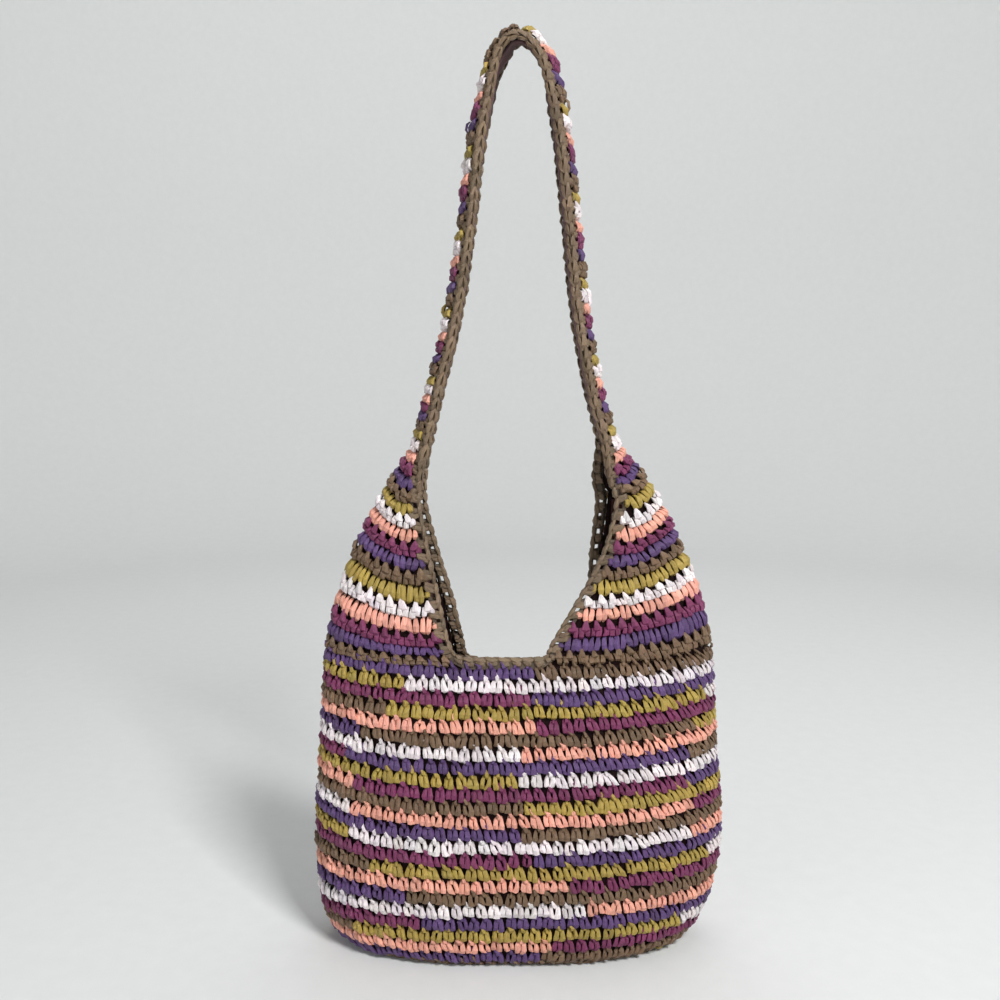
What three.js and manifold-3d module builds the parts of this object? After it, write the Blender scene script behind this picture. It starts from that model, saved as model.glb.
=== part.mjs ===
import * as THREE from "three";
import { mergeVertices } from "three/addons/utils/BufferGeometryUtils.js";
import solids from "manifold-3d";

// Crochet shoulder bag, standing with its strap up. Millimetres, +Z up, front towards -Y.
// The pouch is worked in rounds from a flat base. Two ears go on in flat rows at the sides,
// and narrow into the two halves of the strap, which meet at the crown.

// Driving dimensions.
const SHEET = 5.5;          // thickness of the crochet
const RIB = 1.5;            // how far a row stands out over the valley between rows
const GAP = 0.4;            // clearance between neighbouring pieces
const WALL_ROWS = 24;       // rounds from the base edge to the neckline
const EAR_ROWS = 13;        // flat rows of an ear
const STRAP_ROWS = 33;      // flat rows of half a strap
const BACK_DROP = 20;       // the back neckline hangs this much lower than the front
const CROWN_Z = 718;        // top of the strap
const CROWN_RADIUS = 18;    // bend of the strap at the crown
const EDGING_WIDE = 8;      // edging along ears and strap, across its run
const EDGING_NECK = 4.5;    // edging along the neckline, drawn in to a rope
const EDGING_THICK = 7.4;   // edging, through the sheet
const EDGING_GAP = 0.8;     // clearance of the edging from the sheet's edge
const EYELET_LONG = 4.6;    // open eyelets of the edging along the ears
const EYELET_WIDE = 3.0;
const LINING = 1.2;         // thickness of the lining cloth
const LINING_GAP = 1.4;     // clearance between crochet and lining
const LINING_REACH = 0.86;  // the lining of an ear ends at this part of its half width
const STRIP_REACH = 0.7;    // the lining of the strap, the same way
const STRIP_GAP = 2.2;      // clearance between the strap and its lining, wide for the bend at the crown
const LINING_STOP = 0.2;    // rows between the lining of an ear and the strip of the strap
const EASE_LEFT = 2;        // rows over which the ear's last row turns into the strap's section
const EASE_RIGHT = 4;

// Colours and sheen.
const RAFFIA = { color: 0x8a5f6e, roughness: 0.72, metalness: 0 };
const TAUPE = { color: 0x8d7460, roughness: 0.72, metalness: 0 };
const DARK_CLOTH = { color: 0x3d211f, roughness: 0.85, metalness: 0 };
const PLUM_CLOTH = { color: 0x5a3038, roughness: 0.85, metalness: 0 };

// Columns of the mesh.
const PANEL_STEPS = 6;      // across the flat front or back panel
const EAR_STEPS = 10;       // round one side, front edge to back edge
const STRAP_STEPS = 6;      // across the strap
const STRIP_STEPS = 4;      // across the lining of the strap
const LINING_STRIDE = 2;    // rows to one step of the ear's lining
const STRIP_STRIDE = 1.5;   // rows to one step of the strap's lining
const EDGING_SIDES = 6;     // round the edging

// Outer surface of the pouch by height: half width at the sides, half depth front and back,
// and how far the round sits to the left, as the base corner on the left is fuller.
const WALL = [
  { z: 0, side: 116, depth: 43, left: 7 },
  { z: 3, side: 134, depth: 50, left: 6 },
  { z: 10, side: 146, depth: 54, left: 5.5 },
  { z: 24, side: 155, depth: 57, left: 4 },
  { z: 45, side: 161, depth: 59, left: 2 },
  { z: 80, side: 165, depth: 60, left: 0.3 },
  { z: 115, side: 164.5, depth: 59, left: 0 },
  { z: 150, side: 161.5, depth: 55.5, left: 0 },
  { z: 185, side: 159, depth: 50, left: 0 },
  { z: 215, side: 157, depth: 43, left: 0 },
  { z: 241, side: 155, depth: 37, left: 0 },
];

// Ends of the flat panels at the base and at the neckline, by corner.
const PANEL_BASE = 30;
const PANEL_TOP = { frontLeft: 50, frontRight: 24, backLeft: 44, backRight: 46 };

// Outer surface of the ears by row: the side line, then x of the edges (f front, b back, l left, r right),
// z of the front and back edges, and the half depth at the edges.
const EAR = [
  { row: 0, side: 155, sideZ: 241, fl: 50, fr: 24, bl: 44, br: 46, frontZ: 241, backZ: 221, depth: 37 },
  { row: 1, side: 153.5, sideZ: 252, fl: 58.5, fr: 28, bl: 51, br: 54, frontZ: 247, backZ: 229, depth: 34 },
  { row: 3, side: 148.5, sideZ: 275, fl: 64.5, fr: 36.5, bl: 55, br: 62, frontZ: 261, backZ: 246.5, depth: 29.9 },
  { row: 6, side: 138, sideZ: 307, fl: 70.2, fr: 52.5, bl: 61.8, br: 66, frontZ: 287, backZ: 279, depth: 25.6 },
  { row: 9, side: 124, sideZ: 340, fl: 77.5, fr: 71.5, bl: 72.8, br: 67, frontZ: 321, backZ: 317, depth: 23.2 },
  { row: 11, side: 113, sideZ: 361, fl: 82.5, fr: 79, bl: 79.8, br: 70, frontZ: 345, backZ: 343, depth: 21.6 },
  { row: 13, side: 101, sideZ: 381, fl: 86.8, fr: 85, bl: 85, br: 72, frontZ: 370, backZ: 369, depth: 20 },
];

// Outer line of the strap by height, left and right of the middle.
const STRAP = [
  { z: 381, left: 101, right: 101 },
  { z: 406, left: 84, right: 79.5 },
  { z: 437, left: 74.5, right: 67.5 },
  { z: 462, left: 68.5, right: 61.3 },
  { z: 486, left: 61.5, right: 56.5 },
  { z: 510, left: 56, right: 52.3 },
  { z: 535, left: 51.5, right: 49 },
  { z: 575, left: 45.5, right: 45 },
  { z: 610, left: 41.3, right: 41 },
  { z: 645, left: 36.3, right: 36.3 },
  { z: 674, left: 29.5, right: 30.2 },
  { z: 690, left: 26, right: 27 },
  { z: 699, left: 21.9, right: 23.2 },
  { z: 706.5, left: 16.8, right: 17.8 },
];

// Section of the strap by row: half width, how far its edges curl in, and how steeply it tilts,
// back edge up, on the left and on the right. The last two rows lie past the crown, where each
// half of the strap carries on the shape of the other.
const CURL = [
  { row: 0, half: 20, curl: 12, left: 0, right: 0 },
  { row: 3, half: 18, curl: 5.2, left: 0, right: 0 },
  { row: 8, half: 17, curl: 3.8, left: 0, right: 0 },
  { row: 22, half: 17, curl: 3.4, left: 0, right: 0 },
  { row: 26, half: 17, curl: 3.2, left: 0, right: 0.03 },
  { row: 29, half: 16.8, curl: 2.8, left: 0, right: 0.1 },
  { row: 31, half: 16.6, curl: 2.3, left: -0.06, right: 0.17 },
  { row: 33, half: 16.5, curl: 2, left: 0.18, right: 0.18 },
  { row: 35, half: 16.6, curl: 2.3, left: 0.17, right: -0.06 },
  { row: 37, half: 16.8, curl: 2.8, left: 0.1, right: 0 },
];

const v = (x, y, z) => new THREE.Vector3(x, y, z);
const mix = (a, b, t) => a + (b - a) * t;
const bell = (t) => t * t * (3 - 2 * t);

// Smooth value of one column of a table, keyed by another column.
function read(table, key, column, at) {
  const last = table.length - 1;
  let i = 0;
  while (i < last - 1 && at > table[i + 1][key]) i += 1;
  const slope = (k) => {
    const a = table[Math.max(k - 1, 0)];
    const b = table[Math.min(k + 1, last)];
    return (b[column] - a[column]) / (b[key] - a[key]);
  };
  const p = table[i];
  const q = table[i + 1];
  const span = q[key] - p[key];
  const t = (at - p[key]) / span;
  const even = bell(t);
  const bend = t * (1 - t) * ((1 - t) * slope(i) - t * slope(i + 1)) * span;
  return mix(p[column], q[column], even) + bend;
}

// Heights of the rounds: equal steps along the front profile, from the base edge up.
function roundHeights() {
  const fine = 400;
  const top = WALL[WALL.length - 1].z;
  const height = (i) => top * (i / fine) ** 2;
  const run = [0];
  for (let i = 1; i <= fine; i += 1) {
    const rise = height(i) - height(i - 1);
    const out = read(WALL, "z", "depth", height(i)) - read(WALL, "z", "depth", height(i - 1));
    run.push(run[i - 1] + Math.hypot(rise, out));
  }
  return (row) => {
    const goal = (row / WALL_ROWS) * run[fine];
    let i = 1;
    while (i < fine && run[i] < goal) i += 1;
    const t = (goal - run[i - 1]) / (run[i] - run[i - 1]);
    return mix(height(i - 1), height(i), t);
  };
}
const roundHeight = roundHeights();

// A point of the pouch. Blocks go round it: front panel, right side, back panel, left side.
function wallPoint(row, block, s) {
  const z = roundHeight(row);
  const side = read(WALL, "z", "side", z);
  const depth = read(WALL, "z", "depth", z);
  const up = row / WALL_ROWS;
  const sag = BACK_DROP * up * up;
  const shift = -read(WALL, "z", "left", z);
  const corner = (name) => mix(PANEL_BASE, PANEL_TOP[name], up);
  if (block === "front") return v(mix(-corner("frontLeft"), corner("frontRight"), s) + shift, -depth, z);
  if (block === "back") return v(mix(corner("backRight"), -corner("backLeft"), s) + shift, depth, z - sag);
  const turn = block === "right" ? s * 2 - 1 : 1 - s * 2;
  const angle = turn * Math.PI / 2;
  const hand = block === "right" ? 1 : -1;
  const end = corner((turn < 0 ? "front" : "back") + (hand > 0 ? "Right" : "Left"));
  const lower = turn > 0 ? sag * Math.sin(angle) ** 2 : 0;
  return v(hand * mix(end, side, Math.cos(angle)) + shift, depth * Math.sin(angle), z - lower);
}

// A point of an ear: turn runs from -1 at the front edge to 1 at the back edge.
function earPoint(row, hand, turn) {
  const get = (column) => read(EAR, "row", column, row);
  const angle = turn * Math.PI / 2;
  const front = turn < 0;
  const edge = get((front ? "f" : "b") + (hand > 0 ? "r" : "l"));
  const edgeZ = get(front ? "frontZ" : "backZ");
  const z = mix(get("sideZ"), edgeZ, Math.sin(angle) ** 2);
  return v(hand * mix(edge, get("side"), Math.cos(angle)), get("depth") * Math.sin(angle), z);
}

// The outer line of the strap as one curve, from the left ear over the crown to the right ear.
function strapCurve() {
  const left = STRAP.map((stop) => v(-stop.left, 0, stop.z));
  const right = STRAP.map((stop) => v(stop.right, 0, stop.z));
  const crown = [-40, -20, 0, 20, 40].map((degrees) => {
    const lean = THREE.MathUtils.degToRad(degrees);
    return v(CROWN_RADIUS * Math.sin(lean), 0, CROWN_Z - CROWN_RADIUS * (1 - Math.cos(lean)));
  });
  const curve = new THREE.CatmullRomCurve3([...left, ...crown, ...right.reverse()], false, "centripetal");
  curve.arcLengthDivisions = 1200;
  return curve;
}
const strapLine = strapCurve();

// Where the crown lies along that curve, found by halving.
function findCrown() {
  let low = 0.3;
  let high = 0.7;
  for (let i = 0; i < 40; i += 1) {
    const half = (low + high) / 2;
    if (strapLine.getPointAt(half).x < 0) low = half;
    else high = half;
  }
  return (low + high) / 2;
}
const CROWN_AT = findCrown();

// A part of one half, 0 at the ear and 1 at the crown: the point and the way out of the strap.
function strapSpot(hand, t) {
  const at = hand < 0 ? t * CROWN_AT : 1 - t * (1 - CROWN_AT);
  const along = strapLine.getTangentAt(at);
  return { base: strapLine.getPointAt(at), out: v(-along.z, 0, along.x) };
}

// A point of the strap. Its first rows ease from the ear's last row into the strap's own section.
function strapPoint(row, hand, turn) {
  const { base, out } = strapSpot(hand, Math.max(row, 0) / STRAP_ROWS);
  const half = read(CURL, "row", "half", row);
  const curl = read(CURL, "row", "curl", row);
  const tilt = half * read(CURL, "row", hand < 0 ? "left" : "right", row);
  const spot = base.clone().addScaledVector(out, tilt * turn - curl * turn * turn);
  spot.y = half * turn;
  const ease = 1 - bell(Math.min(row / (hand < 0 ? EASE_LEFT : EASE_RIGHT), 1));
  const moved = base.sub(strapSpot(hand, 0).base);
  return spot.lerp(earPoint(EAR_ROWS, hand, turn).add(moved), ease);
}

// One sheet of rows: q counts rows from the base edge through the ears and on through the strap.
const EAR_START = WALL_ROWS;
const STRAP_START = WALL_ROWS + EAR_ROWS;
function point(q, block, s) {
  if (q <= EAR_START) return wallPoint(Math.max(q, 0), block, s);
  const hand = block === "right" ? 1 : -1;
  const turn = hand * (s * 2 - 1);
  if (q <= STRAP_START) return earPoint(q - EAR_START, hand, turn);
  return strapPoint(q - STRAP_START, hand, turn);
}

// Outward normal of the sheet, from small steps across and along the rows, the pouch apart from the ears.
function normal(q, block, s) {
  const step = 0.02;
  const top = q <= EAR_START ? EAR_START : STRAP_START + STRAP_ROWS + 1;
  const s0 = Math.max(s - step, 0);
  const s1 = Math.min(s + step, 1);
  const q0 = Math.max(q - 0.1, 0);
  const q1 = Math.min(q + 0.1, top);
  const across = point(q, block, s1).sub(point(q, block, s0));
  const along = point(q1, block, s).sub(point(q0, block, s));
  return across.cross(along).normalize();
}

// The sheet's point sunk under the outer surface by a depth.
function sunk(q, block, s, depth) {
  return point(q, block, s).addScaledVector(normal(q, block, s), -depth);
}

// Triangles collect here and become one closed mesh.
class Skin {
  constructor() {
    this.spots = [];
  }
  tri(a, b, c) {
    for (const p of [a, b, c]) this.spots.push(p.x, p.y, p.z);
  }
  quad(a, b, c, d) {
    this.tri(a, b, c);
    this.tri(a, c, d);
  }
  // Lay faces between two rows of the same count, the second row above the first.
  band(low, high, inside) {
    for (let i = 0; i + 1 < low.length; i += 1) {
      if (inside) this.quad(low[i + 1], low[i], high[i], high[i + 1]);
      else this.quad(low[i], low[i + 1], high[i + 1], high[i]);
    }
  }
  // Join two edge lines of different counts, first to last.
  zip(a, b, turned) {
    let i = 0;
    let j = 0;
    const put = (p, q, r) => (turned ? this.tri(p, r, q) : this.tri(p, q, r));
    while (i < a.length - 1 || j < b.length - 1) {
      const next = (i + 1) / (a.length - 1);
      const other = (j + 1) / (b.length - 1);
      if (j === b.length - 1 || (i < a.length - 1 && next <= other)) {
        put(a[i], a[i + 1], b[j]);
        i += 1;
      } else {
        put(a[i], b[j + 1], b[j]);
        j += 1;
      }
    }
  }
  fan(ring, hub, turned) {
    for (let i = 0; i < ring.length; i += 1) {
      const next = ring[(i + 1) % ring.length];
      if (turned) this.tri(hub, next, ring[i]);
      else this.tri(hub, ring[i], next);
    }
  }
  mesh(name, finish) {
    const raw = new THREE.BufferGeometry();
    raw.setAttribute("position", new THREE.Float32BufferAttribute(this.spots, 3));
    const geometry = mergeVertices(raw, 1e-4);
    geometry.computeVertexNormals();
    const mesh = new THREE.Mesh(geometry, new THREE.MeshStandardMaterial(finish));
    mesh.name = name;
    return mesh;
  }
}

const steps = (from, to, count) => Array.from({ length: count + 1 }, (_, i) => mix(from, to, i / count));
const BLOCKS = ["front", "right", "back", "left"];
const blockSteps = (block) => (block === "front" || block === "back" ? PANEL_STEPS : EAR_STEPS);

// How deep the outer face lies at a row: valleys at whole rows, ribs between them.
const ribbed = (q) => (q < 0.25 || Math.abs(q - Math.round(q)) > 0.25 ? 0 : RIB);

// One round of the pouch as a closed ring of points.
function ring(q, depth) {
  const spots = [];
  for (const block of BLOCKS) {
    const count = blockSteps(block);
    for (let i = 0; i < count; i += 1) spots.push(sunk(q, block, i / count, depth));
  }
  return spots;
}

// One row of an ear or of the strap, front to back on the right, back to front on the left.
function row(q, block, count, reach, depth) {
  return steps(0.5 - reach / 2, 0.5 + reach / 2, count).map((s) => sunk(q, block, s, depth));
}

// A bag-shaped shell: rounds, then the ears' rows, with an outer and an inner face.
function bagShell({ outerRounds, innerRounds, outerEars, innerEars, outerDepth, innerDepth, reach }) {
  const skin = new Skin();
  const first = { right: PANEL_STEPS, left: 2 * PANEL_STEPS + EAR_STEPS };
  const arc = (spots, block) => {
    const start = first[block];
    return Array.from({ length: EAR_STEPS + 1 }, (_, i) => spots[(start + i) % spots.length]);
  };
  const panel = (spots, start) => {
    return Array.from({ length: PANEL_STEPS + 1 }, (_, i) => spots[(start + i) % spots.length]);
  };
  const face = (rounds, ears, depth, inside) => {
    const rings = rounds.map((q) => ring(q, depth(q)));
    for (let i = 0; i + 1 < rings.length; i += 1) {
      skin.band([...rings[i], rings[i][0]], [...rings[i + 1], rings[i + 1][0]], inside);
    }
    const hub = rings[0].reduce((sum, p) => sum.add(p), v(0, 0, 0)).divideScalar(rings[0].length);
    skin.fan(rings[0], hub, !inside);
    const brim = rings[rings.length - 1];
    const sides = {};
    for (const block of ["right", "left"]) {
      const rows = [arc(brim, block), ...ears.map((q) => row(q, block, EAR_STEPS, reach, depth(q)))];
      for (let i = 0; i + 1 < rows.length; i += 1) skin.band(rows[i], rows[i + 1], inside);
      sides[block] = rows;
    }
    return { brim, sides };
  };
  const outer = face(outerRounds, outerEars, outerDepth, false);
  const inner = face(innerRounds, innerEars, innerDepth, true);
  for (const start of [0, PANEL_STEPS + EAR_STEPS]) {
    skin.band(panel(outer.brim, start), panel(inner.brim, start));
  }
  for (const block of ["right", "left"]) {
    const out = outer.sides[block];
    const inn = inner.sides[block];
    skin.band(out[out.length - 1], inn[inn.length - 1]);
    skin.zip(out.map((r) => r[0]), inn.map((r) => r[0]), false);
    skin.zip(out.map((r) => r[EAR_STEPS]), inn.map((r) => r[EAR_STEPS]), true);
  }
  return skin;
}

// Half rows for the ribbed outer face, whole rows inside.
const halves = (from, to) => steps(from, to, (to - from) * 2);
const wholes = (from, to, stride) => steps(from, to, Math.ceil((to - from) / stride));

// Rounds of the inner face and the lining, close together where the base turns up into the wall.
const INNER_ROUNDS = [0, 1, 2, 3, 4.5, 6.5, 9, 12, 15, 18, 21, WALL_ROWS - 1];

function makeBody() {
  const skin = bagShell({
    outerRounds: halves(0, WALL_ROWS),
    innerRounds: [...INNER_ROUNDS, WALL_ROWS],
    outerEars: [],
    innerEars: [],
    outerDepth: ribbed,
    innerDepth: () => SHEET,
    reach: 1,
  });
  return skin.mesh("body", RAFFIA);
}

// The lining stops one row under the neckline and short of the ears' edges.
function makeLiningPouch() {
  const skin = bagShell({
    outerRounds: INNER_ROUNDS,
    innerRounds: INNER_ROUNDS,
    outerEars: wholes(EAR_START + 1, STRAP_START - LINING_STOP, LINING_STRIDE),
    innerEars: wholes(EAR_START + 1, STRAP_START - LINING_STOP, LINING_STRIDE),
    outerDepth: () => SHEET + LINING_GAP,
    innerDepth: () => SHEET + LINING_GAP + LINING,
    reach: LINING_REACH,
  });
  return skin.mesh("lining_pouch", DARK_CLOTH);
}

// A strip of rows with an outer and an inner face, closed all round.
function stripShell(outerRows, innerRows) {
  const skin = new Skin();
  const last = outerRows[0].length - 1;
  for (let i = 0; i + 1 < outerRows.length; i += 1) skin.band(outerRows[i], outerRows[i + 1]);
  for (let i = 0; i + 1 < innerRows.length; i += 1) skin.band(innerRows[i], innerRows[i + 1], true);
  skin.band(innerRows[0], outerRows[0]);
  skin.band(outerRows[outerRows.length - 1], innerRows[innerRows.length - 1]);
  skin.zip(outerRows.map((r) => r[0]), innerRows.map((r) => r[0]), false);
  skin.zip(outerRows.map((r) => r[last]), innerRows.map((r) => r[last]), true);
  return skin;
}

// An ear stands on the side of the neckline, a gap above the last round.
function makeEar(name, block) {
  const foot = (depth) => row(EAR_START, block, EAR_STEPS, 1, depth).map((p) => p.add(v(0, 0, GAP)));
  const above = (q, depth) => row(q, block, EAR_STEPS, 1, depth);
  const outer = halves(EAR_START + 0.5, STRAP_START).map((q) => above(q, ribbed(q)));
  const inner = wholes(EAR_START + 1, STRAP_START, 1).map((q) => above(q, SHEET));
  return stripShell([foot(RIB), ...outer], [foot(SHEET), ...inner]).mesh(name, RAFFIA);
}

// Half a strap, its two ends set back so that it clears the ear and the other half.
function makeStrap(name, block) {
  const start = STRAP_START;
  const end = STRAP_START + STRAP_ROWS;
  const part = block === "right" ? 1 - CROWN_AT : CROWN_AT;
  const pitch = strapLine.getLength() * part / STRAP_ROWS;
  const low = start + GAP / pitch;
  const high = end - GAP / 2 / pitch;
  const fit = (q) => THREE.MathUtils.clamp(q, low, high);
  const outer = halves(start, end).map((q) => row(fit(q), block, STRAP_STEPS, 1, ribbed(q)));
  const inner = wholes(start, end, 1).map((q) => row(fit(q), block, STRAP_STEPS, 1, SHEET));
  return stripShell(outer, inner).mesh(name, RAFFIA);
}

// The strip under the strap goes over the crown in one piece.
function makeLiningStrap() {
  const stops = wholes(STRAP_START + LINING_STOP, STRAP_START + STRAP_ROWS, STRIP_STRIDE);
  const face = (depth) => {
    const up = stops.map((q) => row(q, "right", STRIP_STEPS, STRIP_REACH, depth));
    const down = stops.map((q) => row(q, "left", STRIP_STEPS, STRIP_REACH, depth).reverse());
    down.pop();
    return [...up, ...down.reverse()];
  };
  const skin = stripShell(face(SHEET + STRIP_GAP), face(SHEET + STRIP_GAP + LINING));
  return skin.mesh("lining_strap", PLUM_CLOTH);
}

// The frame of an edge: its middle, the way out of the sheet's edge, and the sheet's normal.
function edgeFrame(q, block, s) {
  const panel = block === "front" || block === "back";
  const n = normal(q, block, s);
  const spot = point(q, block, s).addScaledVector(n, -SHEET / 2);
  const near = panel ? point(q - 0.2, block, s) : point(q, block, mix(s, 0.5, 0.04));
  const away = point(q, block, s).sub(near);
  away.addScaledVector(n, -away.dot(n)).normalize();
  return { spot, away, n, wide: panel ? EDGING_NECK : EDGING_WIDE };
}

// The edging of one opening: up the right edge, over the crown, down the left edge, along the neckline.
function edgeLoop(panelBlock) {
  const front = panelBlock === "front";
  const rightEnd = front ? 0 : 1;
  const frames = [];
  const rows = wholes(EAR_START + 1, STRAP_START + STRAP_ROWS, 1);
  for (const q of rows) frames.push(edgeFrame(q, "right", rightEnd));
  for (const q of [...rows].reverse().slice(1)) frames.push(edgeFrame(q, "left", 1 - rightEnd));
  const across = steps(0, 1, PANEL_STEPS);
  if (!front) across.reverse();
  for (const s of across) frames.push(edgeFrame(EAR_START, panelBlock, s));
  const count = frames.length;
  return frames.map((f, i) => {
    const before = frames[(i + count - 1) % count];
    const after = frames[(i + 1) % count];
    const away = f.away.clone().multiplyScalar(2).add(before.away).add(after.away).normalize();
    const n = f.n.clone().multiplyScalar(2).add(before.n).add(after.n).normalize();
    const wide = (2 * f.wide + before.wide + after.wide) / 4;
    return { spot: f.spot, away, n, wide };
  });
}

const solidKit = await solids();
solidKit.setup();

function toSolid(geometry) {
  return new solidKit.Manifold(new solidKit.Mesh({
    numProp: 3,
    vertProperties: new Float32Array(geometry.attributes.position.array),
    triVerts: new Uint32Array(geometry.index.array),
  }));
}

// One eyelet's cutter: a bar through the edging, square to the sheet.
function eyeletBar(q, block, s) {
  const { spot, away, n } = edgeFrame(q, block, s);
  const along = v(0, 0, 0).crossVectors(away, n);
  const box = new THREE.BoxGeometry(EYELET_WIDE, EYELET_LONG, 4 * EDGING_THICK);
  const bar = mergeVertices(box.deleteAttribute("uv").deleteAttribute("normal"));
  const middle = spot.clone().addScaledVector(away, EDGING_GAP + EDGING_WIDE / 2);
  const frame = new THREE.Matrix4().makeBasis(away, along.negate(), n).setPosition(middle);
  return toSolid(bar.applyMatrix4(frame));
}

// Cut the eyelets along both ears, one to a row.
function cutEyelets(mesh, panelBlock) {
  const bars = [];
  for (const block of ["right", "left"]) {
    const s = (panelBlock === "front") === (block === "right") ? 0 : 1;
    for (let q = EAR_START + 2.5; q < STRAP_START; q += 1) bars.push(eyeletBar(q, block, s));
  }
  const cut = toSolid(mesh.geometry).subtract(solidKit.Manifold.union(bars)).getMesh();
  const geometry = new THREE.BufferGeometry();
  geometry.setAttribute("position", new THREE.Float32BufferAttribute(cut.vertProperties, 3));
  geometry.setIndex(new THREE.Uint32BufferAttribute(cut.triVerts, 1));
  geometry.computeVertexNormals();
  mesh.geometry = geometry;
  return mesh;
}

function makeEdging(name, panelBlock) {
  const frames = edgeLoop(panelBlock);
  const rings = frames.map(({ spot, away, n, wide }) => {
    const spots = [];
    for (let i = 0; i < EDGING_SIDES; i += 1) {
      const angle = (i / EDGING_SIDES) * 2 * Math.PI;
      const out = EDGING_GAP + wide / 2 * (1 + Math.cos(angle));
      const lift = EDGING_THICK / 2 * Math.sin(angle);
      spots.push(spot.clone().addScaledVector(away, out).addScaledVector(n, lift));
    }
    return spots;
  });
  const skin = new Skin();
  const turned = panelBlock === "back";
  for (let i = 0; i < rings.length; i += 1) {
    const here = rings[i];
    const there = rings[(i + 1) % rings.length];
    skin.band([...here, here[0]], [...there, there[0]], turned);
  }
  return cutEyelets(skin.mesh(name, TAUPE), panelBlock);
}

const bag = new THREE.Group();
bag.name = "crochet_shoulder_bag";
bag.add(makeBody());
bag.add(makeEar("ear_left", "left"));
bag.add(makeEar("ear_right", "right"));
bag.add(makeStrap("strap_left", "left"));
bag.add(makeStrap("strap_right", "right"));
bag.add(makeEdging("edging_front", "front"));
bag.add(makeEdging("edging_back", "back"));
bag.add(makeLiningPouch());
bag.add(makeLiningStrap());

export default bag;
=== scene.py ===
import math
from collections import namedtuple
import bpy
import numpy as np
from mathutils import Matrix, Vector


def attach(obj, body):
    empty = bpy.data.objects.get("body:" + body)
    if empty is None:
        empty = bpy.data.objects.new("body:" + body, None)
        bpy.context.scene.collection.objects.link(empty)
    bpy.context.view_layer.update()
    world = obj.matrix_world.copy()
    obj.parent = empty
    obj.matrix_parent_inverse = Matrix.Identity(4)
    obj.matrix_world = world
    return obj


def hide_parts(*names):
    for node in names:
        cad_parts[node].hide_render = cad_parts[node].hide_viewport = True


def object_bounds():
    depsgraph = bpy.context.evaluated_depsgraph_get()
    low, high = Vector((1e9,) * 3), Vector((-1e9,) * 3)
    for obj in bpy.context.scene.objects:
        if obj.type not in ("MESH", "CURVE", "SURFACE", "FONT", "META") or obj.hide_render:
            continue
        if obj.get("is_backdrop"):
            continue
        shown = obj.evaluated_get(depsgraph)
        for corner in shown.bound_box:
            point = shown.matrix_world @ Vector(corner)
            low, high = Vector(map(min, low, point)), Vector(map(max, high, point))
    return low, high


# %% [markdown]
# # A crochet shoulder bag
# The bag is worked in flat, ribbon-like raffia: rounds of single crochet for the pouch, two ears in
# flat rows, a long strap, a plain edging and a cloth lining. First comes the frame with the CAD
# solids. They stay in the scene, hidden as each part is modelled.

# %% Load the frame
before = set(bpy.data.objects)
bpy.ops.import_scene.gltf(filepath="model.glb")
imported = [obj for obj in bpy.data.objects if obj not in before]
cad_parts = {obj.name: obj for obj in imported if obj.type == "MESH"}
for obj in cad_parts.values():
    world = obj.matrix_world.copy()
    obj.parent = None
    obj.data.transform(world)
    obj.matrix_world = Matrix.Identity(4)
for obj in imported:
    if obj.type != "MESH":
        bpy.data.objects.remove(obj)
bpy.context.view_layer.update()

# %% [markdown]
# ## Camera
# A picture is matched best when the camera stands where the photographer stood: a little above the
# neckline, less than a metre away and tipped down slightly. A camera added as an object keeps these
# numbers in one place.

# %% Camera
CAMERA_SPOT = (-0.015, -0.820, 0.480)
CAMERA_DIP = math.radians(8)
SENSOR_WIDE, LENS = 36, 37.8  # millimetres
NEAR_CLIP = 0.02
bpy.ops.object.select_all(action="DESELECT")
bpy.ops.object.camera_add(location=CAMERA_SPOT,
                          rotation=(math.pi / 2 - CAMERA_DIP, 0, 0))
camera = bpy.context.object
camera.name = "camera"
camera.data.sensor_width = SENSOR_WIDE
camera.data.lens = LENS
camera.data.clip_start = NEAR_CLIP
bpy.context.scene.camera = camera
print("camera at", CAMERA_SPOT, "lens", LENS)

# %% [markdown]
# ## Floor and backdrop
# The bag stands on a pale table in front of a pale wall. One wide, open bowl of paper does both
# jobs for every side: a ring at rim height is extruded down to the floor and filled there, and a
# wide bevel rounds the turn, so no hard corner shows.

# %% Paper bowl
BOWL_RADIUS, BOWL_HIGH, BOWL_TURN = 2.6, 1.9, 0.9
BOWL_SIDES, TURN_STEPS = 96, 16
bpy.ops.object.select_all(action="DESELECT")
bpy.ops.mesh.primitive_circle_add(vertices=BOWL_SIDES, radius=BOWL_RADIUS,
                                  location=(0, 0, BOWL_HIGH), enter_editmode=True)
bpy.ops.mesh.extrude_region_move(TRANSFORM_OT_translate={"value": (0, 0, -BOWL_HIGH)})
bpy.ops.mesh.edge_face_add()
bpy.ops.object.mode_set(mode="OBJECT")
bpy.ops.object.transform_apply(location=True, rotation=False, scale=False)
bowl = bpy.context.object
bowl.name = "paper_bowl"
turn = bowl.modifiers.new("turn", "BEVEL")
turn.width = BOWL_TURN
turn.segments = TURN_STEPS
turn.limit_method = "ANGLE"
bpy.ops.object.modifier_apply(modifier="turn")
bpy.ops.object.shade_smooth()
bowl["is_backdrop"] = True
print("bowl faces", len(bowl.data.polygons))

# %% [markdown]
# Studio paper is matt and almost even. A faint noise between two near greys keeps it from looking
# like a flat fill. Helpers for a new material, for a node with its values and for the links between
# nodes save many lines in the finishes that follow.

# %% Paper finish
def set_values(node, values):
    for socket, value in values.items():
        node.inputs[socket].default_value = value

def new_finish(name, values):
    material = bpy.data.materials.new(name)
    material.use_nodes = True
    shader = material.node_tree.nodes["Principled BSDF"]
    set_values(shader, values)
    return material, material.node_tree, shader

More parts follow.
